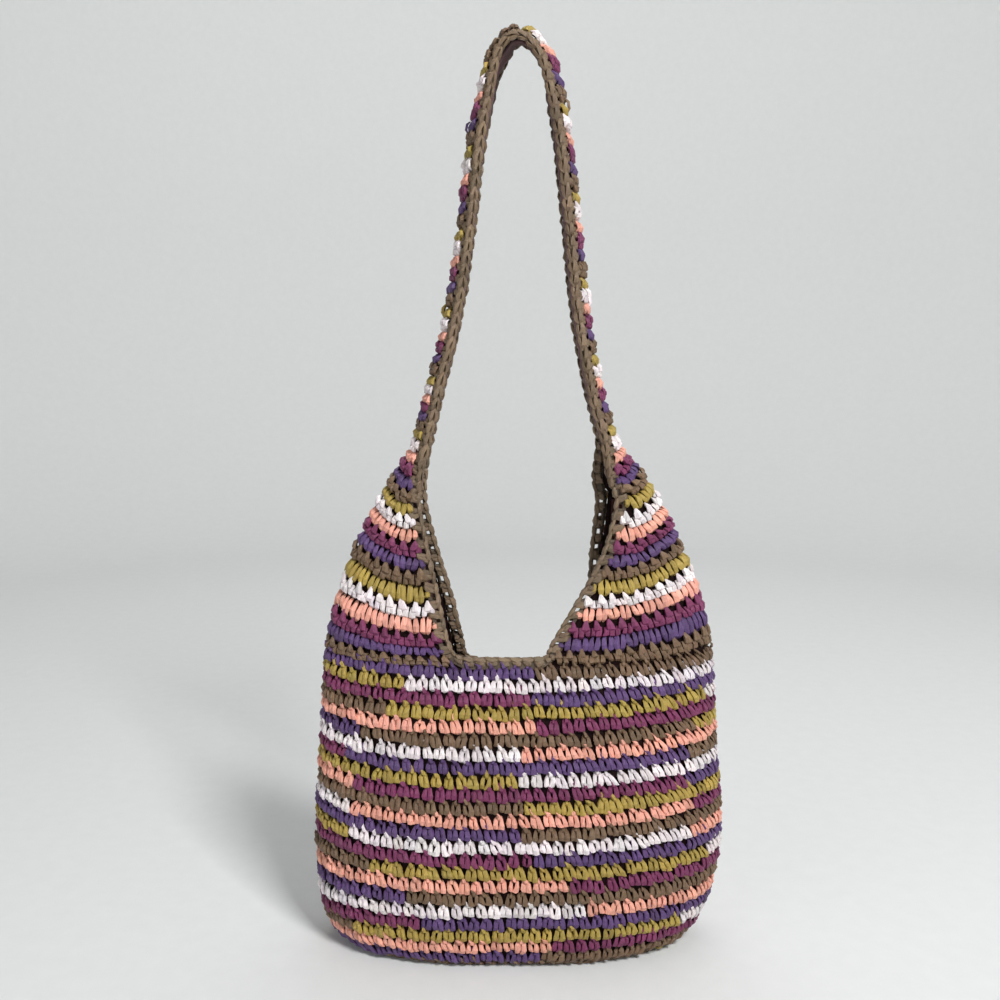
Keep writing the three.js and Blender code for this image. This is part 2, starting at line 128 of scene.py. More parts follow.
def add_node(tree, kind, values=None, **settings):
    node = tree.nodes.new("ShaderNode" + kind)
    for setting, value in settings.items():
        setattr(node, setting, value)
    set_values(node, values or {})
    return node

def add_tones(tree, *colours):
    ramp = add_node(tree, "ValToRGB")
    for stop, colour in zip(ramp.color_ramp.elements, colours):
        stop.color = (*colour, 1)
    return ramp

def wire(tree, *ends):
    for node, output, target, socket in ends:
        tree.links.new(node.outputs[output], target.inputs[socket])

paper, tree, shader = new_finish("pale_paper", {"Roughness": 0.9})
place = add_node(tree, "TexCoord")
fibres = add_node(tree, "TexNoise", {"Scale": 60})
tone = add_tones(tree, (0.65, 0.66, 0.655), (0.69, 0.70, 0.695))
wire(tree, (place, "Object", fibres, "Vector"), (fibres, "Fac", tone, "Fac"),
     (tone, "Color", shader, "Base Color"))
bowl.data.materials.append(paper)
print("finish", paper.name, "on", bowl.name)

# %% [markdown]
# ## Light
# Soft light from the upper right, in front of the bag, a weak one from the left so that the shadow
# side keeps its colours, one that washes the wall behind, and a dim, even world. Large area lights
# give soft edges, and a dim world leaves the gaps between the stitches dark.

# %% Lamps
def add_softbox(name, spot, aim, size, power):
    bpy.ops.object.select_all(action="DESELECT")
    way = np.subtract(aim, spot)
    flat = math.hypot(way[0], way[1])
    tilt = math.atan2(flat, -way[2])
    heading = math.atan2(way[0], way[1])
    bpy.ops.object.light_add(type="AREA", location=spot, rotation=(tilt, 0, -heading))
    lamp = bpy.context.object
    lamp.name = name
    lamp.data.size = size
    lamp.data.energy = power
    print(name, "of", power, "W")

add_softbox("key_light", (0.9, -1.5, 2.0), (0, 0, 0.3), 0.6, 61)
add_softbox("fill_light", (-1.5, -1.2, 0.9), (0, 0, 0.3), 1.4, 5)
add_softbox("top_light", (0.2, 0.3, 2.4), (0, 0, 0.2), 1.6, 10)
add_softbox("wall_light", (0.0, 0.9, 2.4), (0, 2.6, 1.0), 1.8, 17)
ROOM_COLOUR, ROOM_LIGHT = (0.93, 0.95, 1.0, 1), 0.13
world = bpy.data.worlds.new("even_room")
bpy.context.scene.world = world
world.use_nodes = True
room = world.node_tree.nodes["Background"]
set_values(room, {"Color": ROOM_COLOUR, "Strength": ROOM_LIGHT})
bpy.context.scene.view_settings.view_transform = "Standard"

# %% [markdown]
# ## The bag's own surface
# Every stitch lies on the curved sheet of the bag, so the sheet comes first, as numbers only. A
# short table gives the pouch by height: half width, half depth, and how far the round sits to the
# left. The rest is read between the stops by a smooth cubic, and the rounds are spaced evenly along
# the front profile.

# %% Pouch by height
MM = 0.001
ROUNDS = 24
PROFILE_STOPS = 401
WALL = MM * np.array([
    (0, 116, 43, 7), (3, 134, 50, 6), (10, 146, 54, 5.5), (24, 155, 57, 4), (45, 161, 59, 2),
    (80, 165, 60, 0.3), (115, 164.5, 59, 0), (150, 161.5, 55.5, 0), (185, 159, 50, 0),
    (215, 157, 43, 0), (241, 155, 37, 0)])

def mix(a, b, t):
    return a + (b - a) * t

def bell(t):
    t = np.clip(t, 0, 1)
    return t * t * (3 - 2 * t)

def read(table, column, at):
    keys, values = table[:, 0], table[:, column]
    last = len(keys) - 1
    low = np.maximum(np.arange(last + 1) - 1, 0)
    high = np.minimum(np.arange(last + 1) + 1, last)
    slope = (values[high] - values[low]) / (keys[high] - keys[low])
    i = np.clip(np.searchsorted(keys, at) - 1, 0, last - 1)
    span = keys[i + 1] - keys[i]
    t = (at - keys[i]) / span
    bend = t * (1 - t) * ((1 - t) * slope[i] - t * slope[i + 1]) * span
    return mix(values[i], values[i + 1], t * t * (3 - 2 * t)) + bend

heights = WALL[-1, 0] * np.linspace(0, 1, PROFILE_STOPS) ** 2
depths = read(WALL, 2, heights)
profile = np.r_[0, np.cumsum(np.hypot(np.diff(heights), np.diff(depths)))]
ROW = profile[-1] / ROUNDS
print("one round is", round(ROW / MM, 2), "mm high")

# %% [markdown]
# A sheet is kept as a grid of points, rows up and columns across. Its `place` puts anything on it:
# a row number, a part of the way across and a lift off the surface become a point in space. That
# one call lays all the stitches.

# %% Sheet of rows
class Sheet:
    def __init__(self, rows, points, closed):
        self.rows, self.points, self.closed = rows, points, closed
        up = np.gradient(points, rows, axis=0)
        across = np.gradient(points, axis=1)
        if closed:
            seam = points[:, 1] - points[:, -2]
            across[:, 0] = across[:, -1] = seam / 2
        out = np.cross(across, up)
        self.normals = out / np.linalg.norm(out, axis=2, keepdims=True)
        self.widths = np.linalg.norm(np.diff(points, axis=1), axis=2).sum(axis=1)

    def width(self, q):
        return np.interp(q, self.rows, self.widths)

    def place(self, q, w, lift):
        if self.closed:
            w = w % 1.0
        i = (q - self.rows[0]) / (self.rows[1] - self.rows[0])
        j = w * (self.points.shape[1] - 1)
        i0 = np.clip(i.astype(int), 0, len(self.rows) - 2)
        j0 = np.clip(j.astype(int), 0, self.points.shape[1] - 2)
        a, b = (i - i0)[..., None], (j - j0)[..., None]
        spot = out = 0
        corners = ((0, 0, (1 - a) * (1 - b)), (1, 0, a * (1 - b)),
                   (0, 1, (1 - a) * b), (1, 1, a * b))
        for di, dj, share in corners:
            spot = spot + self.points[i0 + di, j0 + dj] * share
            out = out + self.normals[i0 + di, j0 + dj] * share
        return spot + out * np.asarray(lift)[..., None]

def way_along(line):
    return np.r_[0, np.cumsum(np.linalg.norm(np.diff(line, axis=0), axis=1))]

def resample(line, way, at):
    return np.stack([np.interp(at, way, column) for column in line.T], axis=1)

def even_steps(line, count):
    way = way_along(line)
    return resample(line, way, np.linspace(0, way[-1], count))

# %% [markdown]
# A round of the pouch runs from its left side along the front to the right side and back. Each
# corner has its own bend, and the back hangs lower near the neckline. Rows under zero go on below
# as the flat base, each one row further in.

# %% Pouch sheet
PANEL_BASE = 30 * MM
PANEL_TOP = MM * np.array([50, 24, 44, 46])
BACK_DROP = 20 * MM
BASE_ROWS = 4
FINE_ROW, ROUND_POINTS, CORNER_POINTS = 0.125, 721, 120

def pouch_round(q):
    row = max(q, 0.0)
    z = np.interp(row * ROW, profile, heights)
    side, depth, left = (read(WALL, c, z) for c in (1, 2, 3))
    up = row / ROUNDS
    front_left, front_right, back_left, back_right = mix(PANEL_BASE, PANEL_TOP, up)
    turn = np.linspace(0, math.pi / 2, CORNER_POINTS)
    c, s = np.cos(turn), np.sin(turn)
    line = np.concatenate([
        np.c_[-mix(front_left, side, c), -depth * s],
        np.c_[mix(front_right, side, c), -depth * s][::-1],
        np.c_[mix(back_right, side, c), depth * s][1:],
        np.c_[-mix(back_left, side, c), depth * s][::-1]])
    back = np.maximum(line[:, 1], 0) / depth
    inset = 1 - max(-q, 0.0) * ROW / np.array([side, depth])
    spots = np.c_[line * inset - [left, 0], z - BACK_DROP * (up * back) ** 2]
    return even_steps(spots, ROUND_POINTS)

pouch_rows = np.arange(-BASE_ROWS, ROUNDS + 0.01, FINE_ROW)
pouch = Sheet(pouch_rows, np.stack([pouch_round(q) for q in pouch_rows]), closed=True)
print("round at the fullest", round(pouch.widths.max(), 3), "m")

# %% [markdown]
# An ear and its half of the strap are one more sheet on each side. The ear's table gives, by row,
# the side line, the four edges, and how deep they lie. The strap follows one smooth line from ear
# to ear over the crown.

# %% Ear by row
EAR_ROWS = 13
# row; side line out and up; front edge left and right; back edge left and right;
# height of the front and the back edge; depth
EAR = np.array([
    (0, 155, 241, 50, 24, 44, 46, 241, 221, 37), (1, 153.5, 252, 58.5, 28, 51, 54, 247, 229, 34),
    (3, 148.5, 275, 64.5, 36.5, 55, 62, 261, 246.5, 29.9),
    (6, 138, 307, 70.2, 52.5, 61.8, 66, 287, 279, 25.6),
    (9, 124, 340, 77.5, 71.5, 72.8, 67, 321, 317, 23.2),
    (11, 113, 361, 82.5, 79, 79.8, 70, 345, 343, 21.6),
    (13, 101, 381, 86.8, 85, 85, 72, 370, 369, 20)])
EAR[:, 1:] *= MM

def ear_row(row, hand, turn):
    columns = (read(EAR, c, row) for c in range(1, 10))
    side, side_z, fl, fr, bl, br, front_z, back_z, depth = columns
    edge = np.where(turn < 0, fr if hand > 0 else fl, br if hand > 0 else bl)
    edge_z = np.where(turn < 0, front_z, back_z)
    c, s = np.cos(turn * math.pi / 2), np.sin(turn * math.pi / 2)
    spots = [hand * mix(edge, side, c), depth * s, mix(side_z, edge_z, s * s)]
    return np.stack(spots, axis=-1)

print("the side of an ear rises", round((EAR[-1, 2] - EAR[0, 2]) / MM), "mm")

# %% Strap line
STRAP_ROWS = 33
# height, then how far the left and the right half stand from the middle
STRAP = MM * np.array([
    (381, 101, 101), (406, 84, 79.5), (437, 74.5, 67.5), (462, 68.5, 61.3), (486, 61.5, 56.5),
    (510, 56, 52.3), (535, 51.5, 49), (575, 45.5, 45), (610, 41.3, 41), (645, 36.3, 36.3),
    (674, 29.5, 30.2), (690, 26, 27), (699, 21.9, 23.2), (706.5, 16.8, 17.8)])
CROWN_Z, CROWN_RADIUS = 718 * MM, 18 * MM
FINE_STEPS = 60
arc = np.radians([-40, -20, 0, 20, 40])
strap_stops = np.concatenate([
    np.c_[-STRAP[:, 1], STRAP[:, 0]],
    np.c_[CROWN_RADIUS * np.sin(arc), CROWN_Z - CROWN_RADIUS * (1 - np.cos(arc))],
    np.c_[STRAP[:, 2], STRAP[:, 0]][::-1]])

def through(stops, fine):
    ends = np.concatenate([[2 * stops[0] - stops[1]], stops, [2 * stops[-1] - stops[-2]]])
    gap = np.sqrt(np.linalg.norm(np.diff(ends, axis=0), axis=1))[:, None]
    t = np.linspace(0, 1, fine, endpoint=False)[:, None]
    line = []
    for i in range(1, len(ends) - 2):
        a, b, c, d = ends[i - 1:i + 3]
        g0, g1, g2 = gap[i - 1], gap[i], gap[i + 1]
        leave = g1 * ((b - a) / g0 - (c - a) / (g0 + g1) + (c - b) / g1)
        reach = g1 * ((c - b) / g1 - (d - b) / (g1 + g2) + (d - c) / g2)
        line.append(mix(b, c, bell(t)) + t * (1 - t) * ((1 - t) * leave - t * reach))
    return np.concatenate(line + [stops[-1:]])

strap_line = through(strap_stops, FINE_STEPS)
strap_way = way_along(strap_line)
crown_at = np.interp(0, strap_line[:, 0], strap_way)
print("strap runs", round(strap_way[-1], 3), "m from ear to ear")

# %% Ear and strap sheets
# row, half width, curl, tilt of the left and of the right half
CURL = np.array([
    (0, 20, 12, 0, 0), (3, 18, 5.2, 0, 0), (8, 17, 3.8, 0, 0), (22, 17, 3.4, 0, 0),
    (26, 17, 3.2, 0, 0.03), (29, 16.8, 2.8, 0, 0.1), (31, 16.6, 2.3, -0.06, 0.17),
    (33, 16.5, 2, 0.18, 0.18), (35, 16.6, 2.3, 0.17, -0.06), (37, 16.8, 2.8, 0.1, 0)])
CURL[:, 1:3] *= MM
EASE_ROWS = {-1: 2, 1: 4}
SIDE_POINTS = 121
STRAP_START = ROUNDS + EAR_ROWS
CROWN = STRAP_START + STRAP_ROWS

def strap_spot(hand, t):
    at = t * crown_at if hand < 0 else strap_way[-1] - t * (strap_way[-1] - crown_at)
    before, here, after = resample(strap_line, strap_way, at + np.array([-MM, 0, MM]))
    along = (after - before) / np.linalg.norm(after - before)
    return np.array([here[0], 0, here[1]]), np.array([-along[1], 0, along[0]])

def strap_row(row, hand, turn):
    base, out = strap_spot(hand, row / STRAP_ROWS)
    half, curl, tilt = (read(CURL, c, row) for c in (1, 2, 3 if hand < 0 else 4))
    spots = base + out * (half * tilt * turn - curl * turn ** 2)[:, None]
    spots[:, 1] = half * turn
    ease = 1 - bell(row / EASE_ROWS[hand])
    start = ear_row(EAR_ROWS, hand, turn) + base - strap_spot(hand, 0)[0]
    return mix(spots, start, ease)

def side_sheet(hand):
    rows = np.arange(ROUNDS, CROWN + 1.01, FINE_ROW)
    turn = hand * np.linspace(-1, 1, SIDE_POINTS)
    lines = [ear_row(q - ROUNDS, hand, turn) for q in rows[rows <= STRAP_START]]
    lines += [strap_row(q - STRAP_START, hand, turn) for q in rows[rows > STRAP_START]]
    return Sheet(rows, np.stack([even_steps(line, SIDE_POINTS) for line in lines]), closed=False)

sides = {"left": side_sheet(-1), "right": side_sheet(1)}
print("ear foot", round(sides["left"].widths[0], 3), "m wide,",
      "strap at the crown", round(sides["left"].width(CROWN), 3), "m")

# %% [markdown]
# ## Raffia
# Raffia is a flat paper-like ribbon, creased lengthwise where the hook has pulled it, dull with a
# faint gloss on the folds. One material serves every colour: the dye is a colour attribute on the
# mesh, varied from stitch to stitch, and the streaks and creases follow the strand through its UV
# map, across and along. The same streak noise that raises the bump also makes the colour darker in
# the creases and lighter on the ridges: partly the yarn's own uneven tone, partly painted shade and
# painted highlight. The yarn at the back has hardly any gloss, and its near-black colour is painted
# shade.

# %% Dyes
DYES = {
    "white": (0.85, 0.77, 0.78), "peach": (0.87, 0.40, 0.30), "maroon": (0.200, 0.036, 0.105),
    "purple": (0.110, 0.056, 0.170), "brown": (0.185, 0.114, 0.066), "gold": (0.42, 0.300, 0.066),
    # shade is not a dye of the yarn: it is near-black painted shade for the yarn at the back, seen
    # in the gaps
    "taupe": (0.205, 0.140, 0.086), "shade": (0.014, 0.006, 0.006),
}
ORDER = ["maroon", "purple", "brown", "gold", "white", "peach"]
DYE_LIST = np.array([DYES[name] for name in ORDER])
print(len(ORDER), "dyes for the stripes")

# %% Raffia finish
def raffia_finish(name, gloss):
    material, tree, shader = new_finish(name, {"Specular IOR Level": gloss})
    dye = add_node(tree, "Attribute", attribute_name="dye")
    uv = add_node(tree, "UVMap", uv_map="strand")
    spread = add_node(tree, "Mapping", {"Scale": (4.4, 0.32, 1)})
    streak = add_node(tree, "TexNoise", {"Scale": 2.2, "Detail": 5, "Roughness": 0.65})
    # streak scales the dye from 0.54 to 1.2: partly the yarn's uneven tone, partly painted shade in
    # the creases and painted highlight on the ridges
    depth = add_node(tree, "MapRange", {"From Min": 0.3, "From Max": 0.7,
                                        "To Min": 0.54, "To Max": 1.2})
    tint = add_node(tree, "VectorMath", operation="SCALE")
    dull = add_node(tree, "MapRange", {"To Min": 0.66, "To Max": 0.36})
    crease = add_node(tree, "Bump", {"Strength": 0.85, "Distance": 0.0006})
    wire(tree, (uv, "UV", spread, "Vector"), (spread, "Vector", streak, "Vector"),
         (streak, "Fac", depth, "Value"), (dye, "Color", tint, 0), (depth, "Result", tint, "Scale"),
         (tint, "Vector", shader, "Base Color"), (streak, "Fac", dull, "Value"),
         (dull, "Result", shader, "Roughness"), (streak, "Fac", crease, "Height"),
         (crease, "Normal", shader, "Normal"))
    print("finish", name, "with gloss", gloss)
    return material

GLOSS, BACK_GLOSS = 0.42, 0.06
raffia_mixed = raffia_finish("raffia_mixed", GLOSS)
raffia_taupe = raffia_finish("raffia_taupe", GLOSS)
raffia_back = raffia_finish("raffia_back", BACK_GLOSS)

# %% [markdown]
# ## One strand, drawn from listed stops
# A stitch is made of a few short lengths of ribbon. Each is drawn standing up, as in front view: a
# small ring is added, then extruded from stop to stop and scaled at each one. With six sides and
# few stops it keeps to some two dozen faces, since it will be copied thousands of times.

# %% Draw a strand
STRAND_UNIT = 4      # millimetres of strand to one unit of its UV map
STRAND_APART = 7.3   # keeps the streaks of joined strands unlike

Pattern = namedtuple("Pattern", "points loops starts totals strand")

def draw_strand(stops, sides=6):
    bpy.ops.object.select_all(action="DESELECT")
    bpy.ops.mesh.primitive_circle_add(vertices=sides, radius=1, fill_type="NGON",
                                      enter_editmode=True)
    x, up, out, wide, thick = stops[0]
    bpy.ops.transform.resize(value=(wide, thick, 1), center_override=(0, 0, 0))
    bpy.ops.transform.translate(value=(x, -out, up))
    for now, then in zip(stops, stops[1:]):
        step = (then[0] - now[0], now[2] - then[2], then[1] - now[1])
        bpy.ops.mesh.extrude_region_move(TRANSFORM_OT_translate={"value": step})
        bpy.ops.transform.resize(value=(then[3] / now[3], then[4] / now[4], 1),
                                 center_override=(then[0], -then[2], then[1]))
    bpy.ops.mesh.select_all(action="SELECT")
    bpy.ops.mesh.normals_make_consistent(inside=False)
    bpy.ops.object.mode_set(mode="OBJECT")
    mesh = bpy.context.object.data
    points = np.array([v.co for v in mesh.vertices])
    loops = np.array([loop.vertex_index for loop in mesh.loops])
    starts = np.array([face.loop_start for face in mesh.polygons])
    totals = np.array([face.loop_total for face in mesh.polygons])
    table = np.array(stops)
    middle = np.interp(points[:, 2], table[:, 1], table[:, 0])
    half = np.interp(points[:, 2], table[:, 1], table[:, 3])
    strand = np.c_[(points[:, 0] - middle) / half, points[:, 2] / STRAND_UNIT]
    bpy.ops.object.delete()
    bpy.data.meshes.remove(mesh)
    upright = np.c_[points[:, 0], points[:, 2], -points[:, 1]] * MM
    return Pattern(upright, loops, starts, totals, strand)

def gather(*strands):
    parts, base, first = [], 0, 0
    for number, s in enumerate(strands):
        parts.append((s.points, s.loops + base, s.starts + first, s.totals,
                      s.strand + [0, STRAND_APART * number]))
        base += len(s.points)
        first += len(s.loops)
    return Pattern(*map(np.concatenate, zip(*parts)))

def other_leg(stops):
    return [(-x, up, out, wide, thick) for x, up, out, wide, thick in stops]

def draw_all(*tables):
    return gather(*(draw_strand(stops) for stops in tables))

# %% [markdown]
# A stitch of the pouch is a little bell of two legs. Some pairs, one leg thin and one wide, leave a
# small hole above the foot; in most, one leg lies over the other. A narrow tip comes out between
# them and pokes up between two stitches of the round above. A few legs and tips are drawn and
# paired, and an uneven mix of the pairs keeps the rows lively. Millimetres: across, up, out, half
# width, half thickness.

# %% Pouch stitches
THIN_LEG = [(-1.8, -5.4, -2.6, 1.4, 0.7), (-2.2, -4.3, -0.5, 2.1, 1.1), (-2.6, -1.0, 0.1, 1.8, 1.5),
            (-2.3, 2.2, -0.6, 1.4, 1.3), (-1.6, 4.8, -3.0, 0.9, 0.8)]
WIDE_LEG = [(1.0, -6.0, -2.2, 1.7, 0.7), (1.3, -4.7, 0.1, 2.6, 1.2), (2.1, -1.2, 0.6, 2.2, 1.7),
            (2.2, 2.2, -0.3, 1.6, 1.3), (1.6, 4.8, -2.8, 0.9, 0.8)]
UNDER_LEG = [(-1.4, -5.6, -2.7, 1.5, 0.8), (-1.9, -4.4, -0.6, 2.4, 1.2),
             (-2.4, -1.2, -0.1, 2.2, 1.6), (-2.1, 2.2, -0.9, 1.8, 1.4), (-1.5, 4.9, -3.0, 1.0, 0.8)]
OVER_LEG = [(1.2, -5.9, -2.2, 1.5, 0.8), (1.7, -4.6, 0.3, 2.4, 1.2), (2.1, -1.2, 0.9, 2.1, 1.7),
            (1.8, 2.2, 0.0, 1.7, 1.4), (1.3, 4.9, -2.6, 1.0, 0.8)]
TIP = [(0.6, 1.7, -1.9, 0.9, 0.7), (0.3, 4.0, 0.2, 1.6, 1.1), (-0.6, 6.7, 0.5, 1.4, 1.0),
       (-1.5, 9.2, -0.5, 0.5, 0.5)]
BENT_TIP = [(-0.2, 1.5, -1.9, 0.9, 0.7), (0.4, 3.8, 0.3, 1.7, 1.1), (0.4, 6.0, 0.9, 1.8, 1.0),
            (-1.4, 7.8, 0.5, 1.0, 0.8)]
SHORT_TIP = [(-0.2, 1.6, -1.9, 0.8, 0.7), (-0.2, 3.6, 0.0, 1.5, 1.0), (0.1, 5.6, -0.2, 1.0, 0.7),
             (0.3, 7.0, -1.3, 0.5, 0.5)]
thin, wide = draw_strand(THIN_LEG), draw_strand(WIDE_LEG)
thin_right, wide_left = draw_strand(other_leg(THIN_LEG)), draw_strand(other_leg(WIDE_LEG))
under, over = draw_strand(UNDER_LEG), draw_strand(OVER_LEG)
tip, bent_tip, short_tip = (draw_strand(stops, 5) for stops in (TIP, BENT_TIP, SHORT_TIP))
PAIRS = ((thin, wide), (thin_right, wide_left), (under, over))
POUCH_FORMS = [gather(*legs, point) for legs in PAIRS for point in (tip, bent_tip, short_tip)]
FORM_SHARE = [0.14, 0.06, 0.05, 0.08, 0.04, 0.03, 0.32, 0.14, 0.14]
print(len(POUCH_FORMS), "pouch stitches of", len(POUCH_FORMS[0].totals), "faces")

# %% [markdown]
# The ears are turned at the end of each row, so their rows alternate: one shows long pointed
# petals, the next pairs of short lobes with three-cornered caps between them. At each turn a small
# knob of the row's colour is left on the edge.

# %% Ear stitches
PETAL_LEG = [(-0.9, -6.0, -2.4, 0.8, 0.6), (-1.9, -4.2, -0.2, 2.0, 1.2),
             (-2.4, -0.8, 0.4, 2.3, 1.6), (-2.4, 2.6, -1.0, 1.8, 1.3), (-2.0, 5.0, -3.2, 1.0, 0.8)]
SHORT_LEG = [(-1.7, -6.0, -2.8, 1.3, 0.9), (-2.3, -4.6, -0.4, 2.1, 1.5),
             (-2.3, -2.0, 0.1, 2.1, 1.6), (-1.8, 1.0, -1.6, 1.4, 0.9)]
CAP = [(0.3, -2.4, -1.6, 1.9, 1.0), (0.2, -0.4, 0.6, 3.1, 1.7), (-0.2, 2.6, 0.9, 2.5, 1.6),
       (-0.8, 5.8, -0.3, 0.8, 0.7)]
KNOB = [(-0.4, -3.2, -1.4, 1.1, 0.9), (0.2, -1.4, 0.8, 2.0, 1.4), (0.3, 1.2, 0.9, 1.9, 1.4),
        (-0.2, 3.0, -0.8, 0.9, 0.8)]
petal, lobes = (draw_all(leg, other_leg(leg)) for leg in (PETAL_LEG, SHORT_LEG))
cap, knob = draw_strand(CAP), draw_strand(KNOB, 5)
for label, form in (("petal", petal), ("lobes", lobes), ("cap", cap), ("knob", knob)):
    print(label, len(form.totals), "faces")

# %% [markdown]
# ## Laying and joining
# `lay` bends a drawn stitch onto the sheet at many places at once: its own across, up and out
# become the sheet's. `join_copies` then makes one mesh of all copies from arrays, with the dye and
# the strand coordinates on it. What would reach under the floor is pressed flat on it.

# %% Lay a stitch
chance = np.random.default_rng(24)
CRUMPLE = 0.27 * MM

def lay(pattern, sheet, q, w, row=ROW, lean=0.0, size=1.0, lift=0.0, turned=False):
    x, y, z = pattern.points.T
    if turned:
        x, y = y, -x
    count = len(q)
    lean, lift = (np.broadcast_to(v, count)[:, None] for v in (lean, lift))
    size = np.broadcast_to(size, (count, 3))
    u = x * size[:, :1] + lean * y
    v = y * size[:, 1:2]
    n = z * size[:, 2:] + lift
    spots = sheet.place(q[:, None] + v / row, w[:, None] + u / sheet.width(q)[:, None], n)
    return spots + chance.normal(0, CRUMPLE, spots.shape)

# %% Join the copies
STREAK_SHIFT = 50
FOLD_ANGLE = math.radians(26)

def show_piece(name, mesh, material):
    piece = bpy.data.objects.new(name, mesh)
    bpy.context.collection.objects.link(piece)
    mesh.materials.append(material)
    bpy.ops.object.select_all(action="DESELECT")
    piece.select_set(True)
    bpy.context.view_layer.objects.active = piece
    return piece

def paint(mesh, dyes):
    layer = mesh.color_attributes.new("dye", "FLOAT_COLOR", "POINT")
    layer.data.foreach_set("color", np.c_[dyes, np.ones(len(dyes))].astype(np.float32).ravel())

def join_copies(name, batches, material):
    parts, base, first = [], 0, 0
    for pattern, spots, dye in batches:
        count, size = spots.shape[:2]
        shift = np.arange(count)[:, None]
        offset = chance.uniform(0, STREAK_SHIFT, (count, 1, 2))
        parts.append((
            spots.reshape(-1, 3),
            (pattern.loops + shift * size + base).ravel(),
            (pattern.starts + shift * len(pattern.loops) + first).ravel(),
            np.tile(pattern.totals, count),
            (pattern.strand[pattern.loops] + offset).reshape(-1, 2),
            np.repeat(dye, size, axis=0)))
        base += count * size
        first += count * len(pattern.loops)
    points, loops, starts, totals, uvs, dyes = map(np.concatenate, zip(*parts))
    points[:, 2] = np.maximum(points[:, 2], 0)
    mesh = bpy.data.meshes.new(name)
    mesh.vertices.add(len(points))
    mesh.vertices.foreach_set("co", points.astype(np.float32).ravel())
    mesh.loops.add(len(loops))
    mesh.loops.foreach_set("vertex_index", loops.astype(np.int32))
    mesh.polygons.add(len(starts))
    mesh.polygons.foreach_set("loop_start", starts.astype(np.int32))
    mesh.update(calc_edges=True)
    mesh.uv_layers.new(name="strand").data.foreach_set("uv", uvs.astype(np.float32).ravel())
    paint(mesh, dyes)
    mesh.validate()
    piece = show_piece(name, mesh, material)
    bpy.ops.object.shade_smooth_by_angle(angle=FOLD_ANGLE)
    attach(piece, "root")
    print(name, "has", int((totals - 2).sum()), "triangles")
    return piece

DYE_SPREAD, HUE_SHARE = 0.09, 7
LIGHT_RANGE, HUE_RANGE = (0.75, 1.25), (0.95, 1.05)

def uneven(dye, spread=DYE_SPREAD):
    light = chance.normal(1, spread, (len(dye), 1)).clip(*LIGHT_RANGE)
    hue = chance.normal(1, spread / HUE_SHARE, (len(dye), 3)).clip(*HUE_RANGE)
    return dye * light * hue

# %% [markdown]
# ## The pouch, round by round
# The pouch is one long spiral from the middle of the base. A round holds a half stitch more than a
# whole number, so each stitch sits between two of the round below. The dyed yarn changes colour
# about three and a half times a round, which sets the stripes, and the rows sway a little, as
# handwork does.

# %% Count the stitches
STITCH_WIDE = 9.6 * MM
rounds = np.arange(-BASE_ROWS, ROUNDS)
per_round = np.round(pouch.width(rounds + 0.5) / STITCH_WIDE) + 0.5
so_far = np.r_[0, np.cumsum(per_round)]
index = np.arange(int(so_far[-1]))
k = np.clip(np.searchsorted(so_far, index, side="right") - 1, 0, len(rounds) - 1)
w = (index - so_far[k]) / per_round[k]
k = rounds[k]
print(len(index), "stitches in", len(rounds), "rounds")

# %% Stripes and sway
FRONT_RUNS, BACK_RUNS = 1.35, 2.15
ROUND_RUNS, FIRST_RUN = 3.5, 0.5
RISE_IN, RISE_FROM, RISE_OUT = 2, 19, 5  # rounds
DELAY = np.array([
    (-4, 3.0), (0, 3.0), (1, 1.08), (2, 0.63), (3, 0.49), (4, 0.23), (6, 0.17), (8, 0.08), (10, 0),
    (17, 0), (18, 0.03), (19, 0.04), (20, 0.095), (21, 0.03), (22, 0.16), (23, 0.06)])
runs_by_side = [-FRONT_RUNS / 2, FRONT_RUNS / 2, FRONT_RUNS / 2 + BACK_RUNS]
run = ROUND_RUNS * k - FIRST_RUN + np.interp(w, [0, 0.5, 1], runs_by_side)
run = run - np.interp(k, DELAY[:, 0], DELAY[:, 1])
dye = DYE_LIST[np.floor(run).astype(int) % len(ORDER)]
dye[k < 0] = DYES["brown"]
SWAY = np.array([
    (0, 0, 0), (4.3, -3, -3), (7, 5, 1), (9, 11, 3), (12, 12, 4), (16, 11, 5), (21, 10, 8),
    (24, 7, 5)])
SWAY[:, 1:] *= MM / ROW

def rise(k, w):
    slope = bell(k / RISE_IN) * (1 - bell((k - RISE_FROM) / RISE_OUT))
    left, right = (np.interp(k, SWAY[:, 0], SWAY[:, c]) for c in (1, 2))
    side = np.interp(w, [0, 0.25, 0.5, 0.75, 1], [-1, 0, 1, 0, -1])
    sway = np.where(side < 0, left, right) * side ** 2
    return slope * (w - 0.25) + np.where(k > 0, sway, 0)

q = k + 0.5 + rise(k, w)
print("the colour changes about", int(np.ptp(run)), "times")

# %% Loosen the rounds
LEAN, LEAN_RIGHT, LEAN_SPREAD = -0.10, 0.27, 0.11
TURN_FROM, TURN_OVER, BACK_FROM = 0.22, 0.25, 0.75  # parts of a round
STITCH_SIZE, SIZE_SPREAD, SIZE_RANGE = (1.06, 1, 1), 0.07, (0.82, 1.2)
LOOSE_SPREAD = 0.3 * MM
WAVES = ((0.05, 41, 2.3), (0.04, 97, 5.1))  # rows high, turn along the round, shift by round
ROW_SPREAD = 0.035
turned = bell((w - TURN_FROM) / TURN_OVER) * (w < BACK_FROM)
lean = LEAN - LEAN_RIGHT * turned + chance.normal(0, LEAN_SPREAD, len(w))
size = chance.normal(STITCH_SIZE, SIZE_SPREAD, (len(w), 3)).clip(*SIZE_RANGE)
lift = chance.normal(0, LOOSE_SPREAD, len(w))
for high, along, shift in WAVES:
    q = q + high * np.sin(w * along + k * shift)
q = q + chance.normal(0, ROW_SPREAD, len(w))
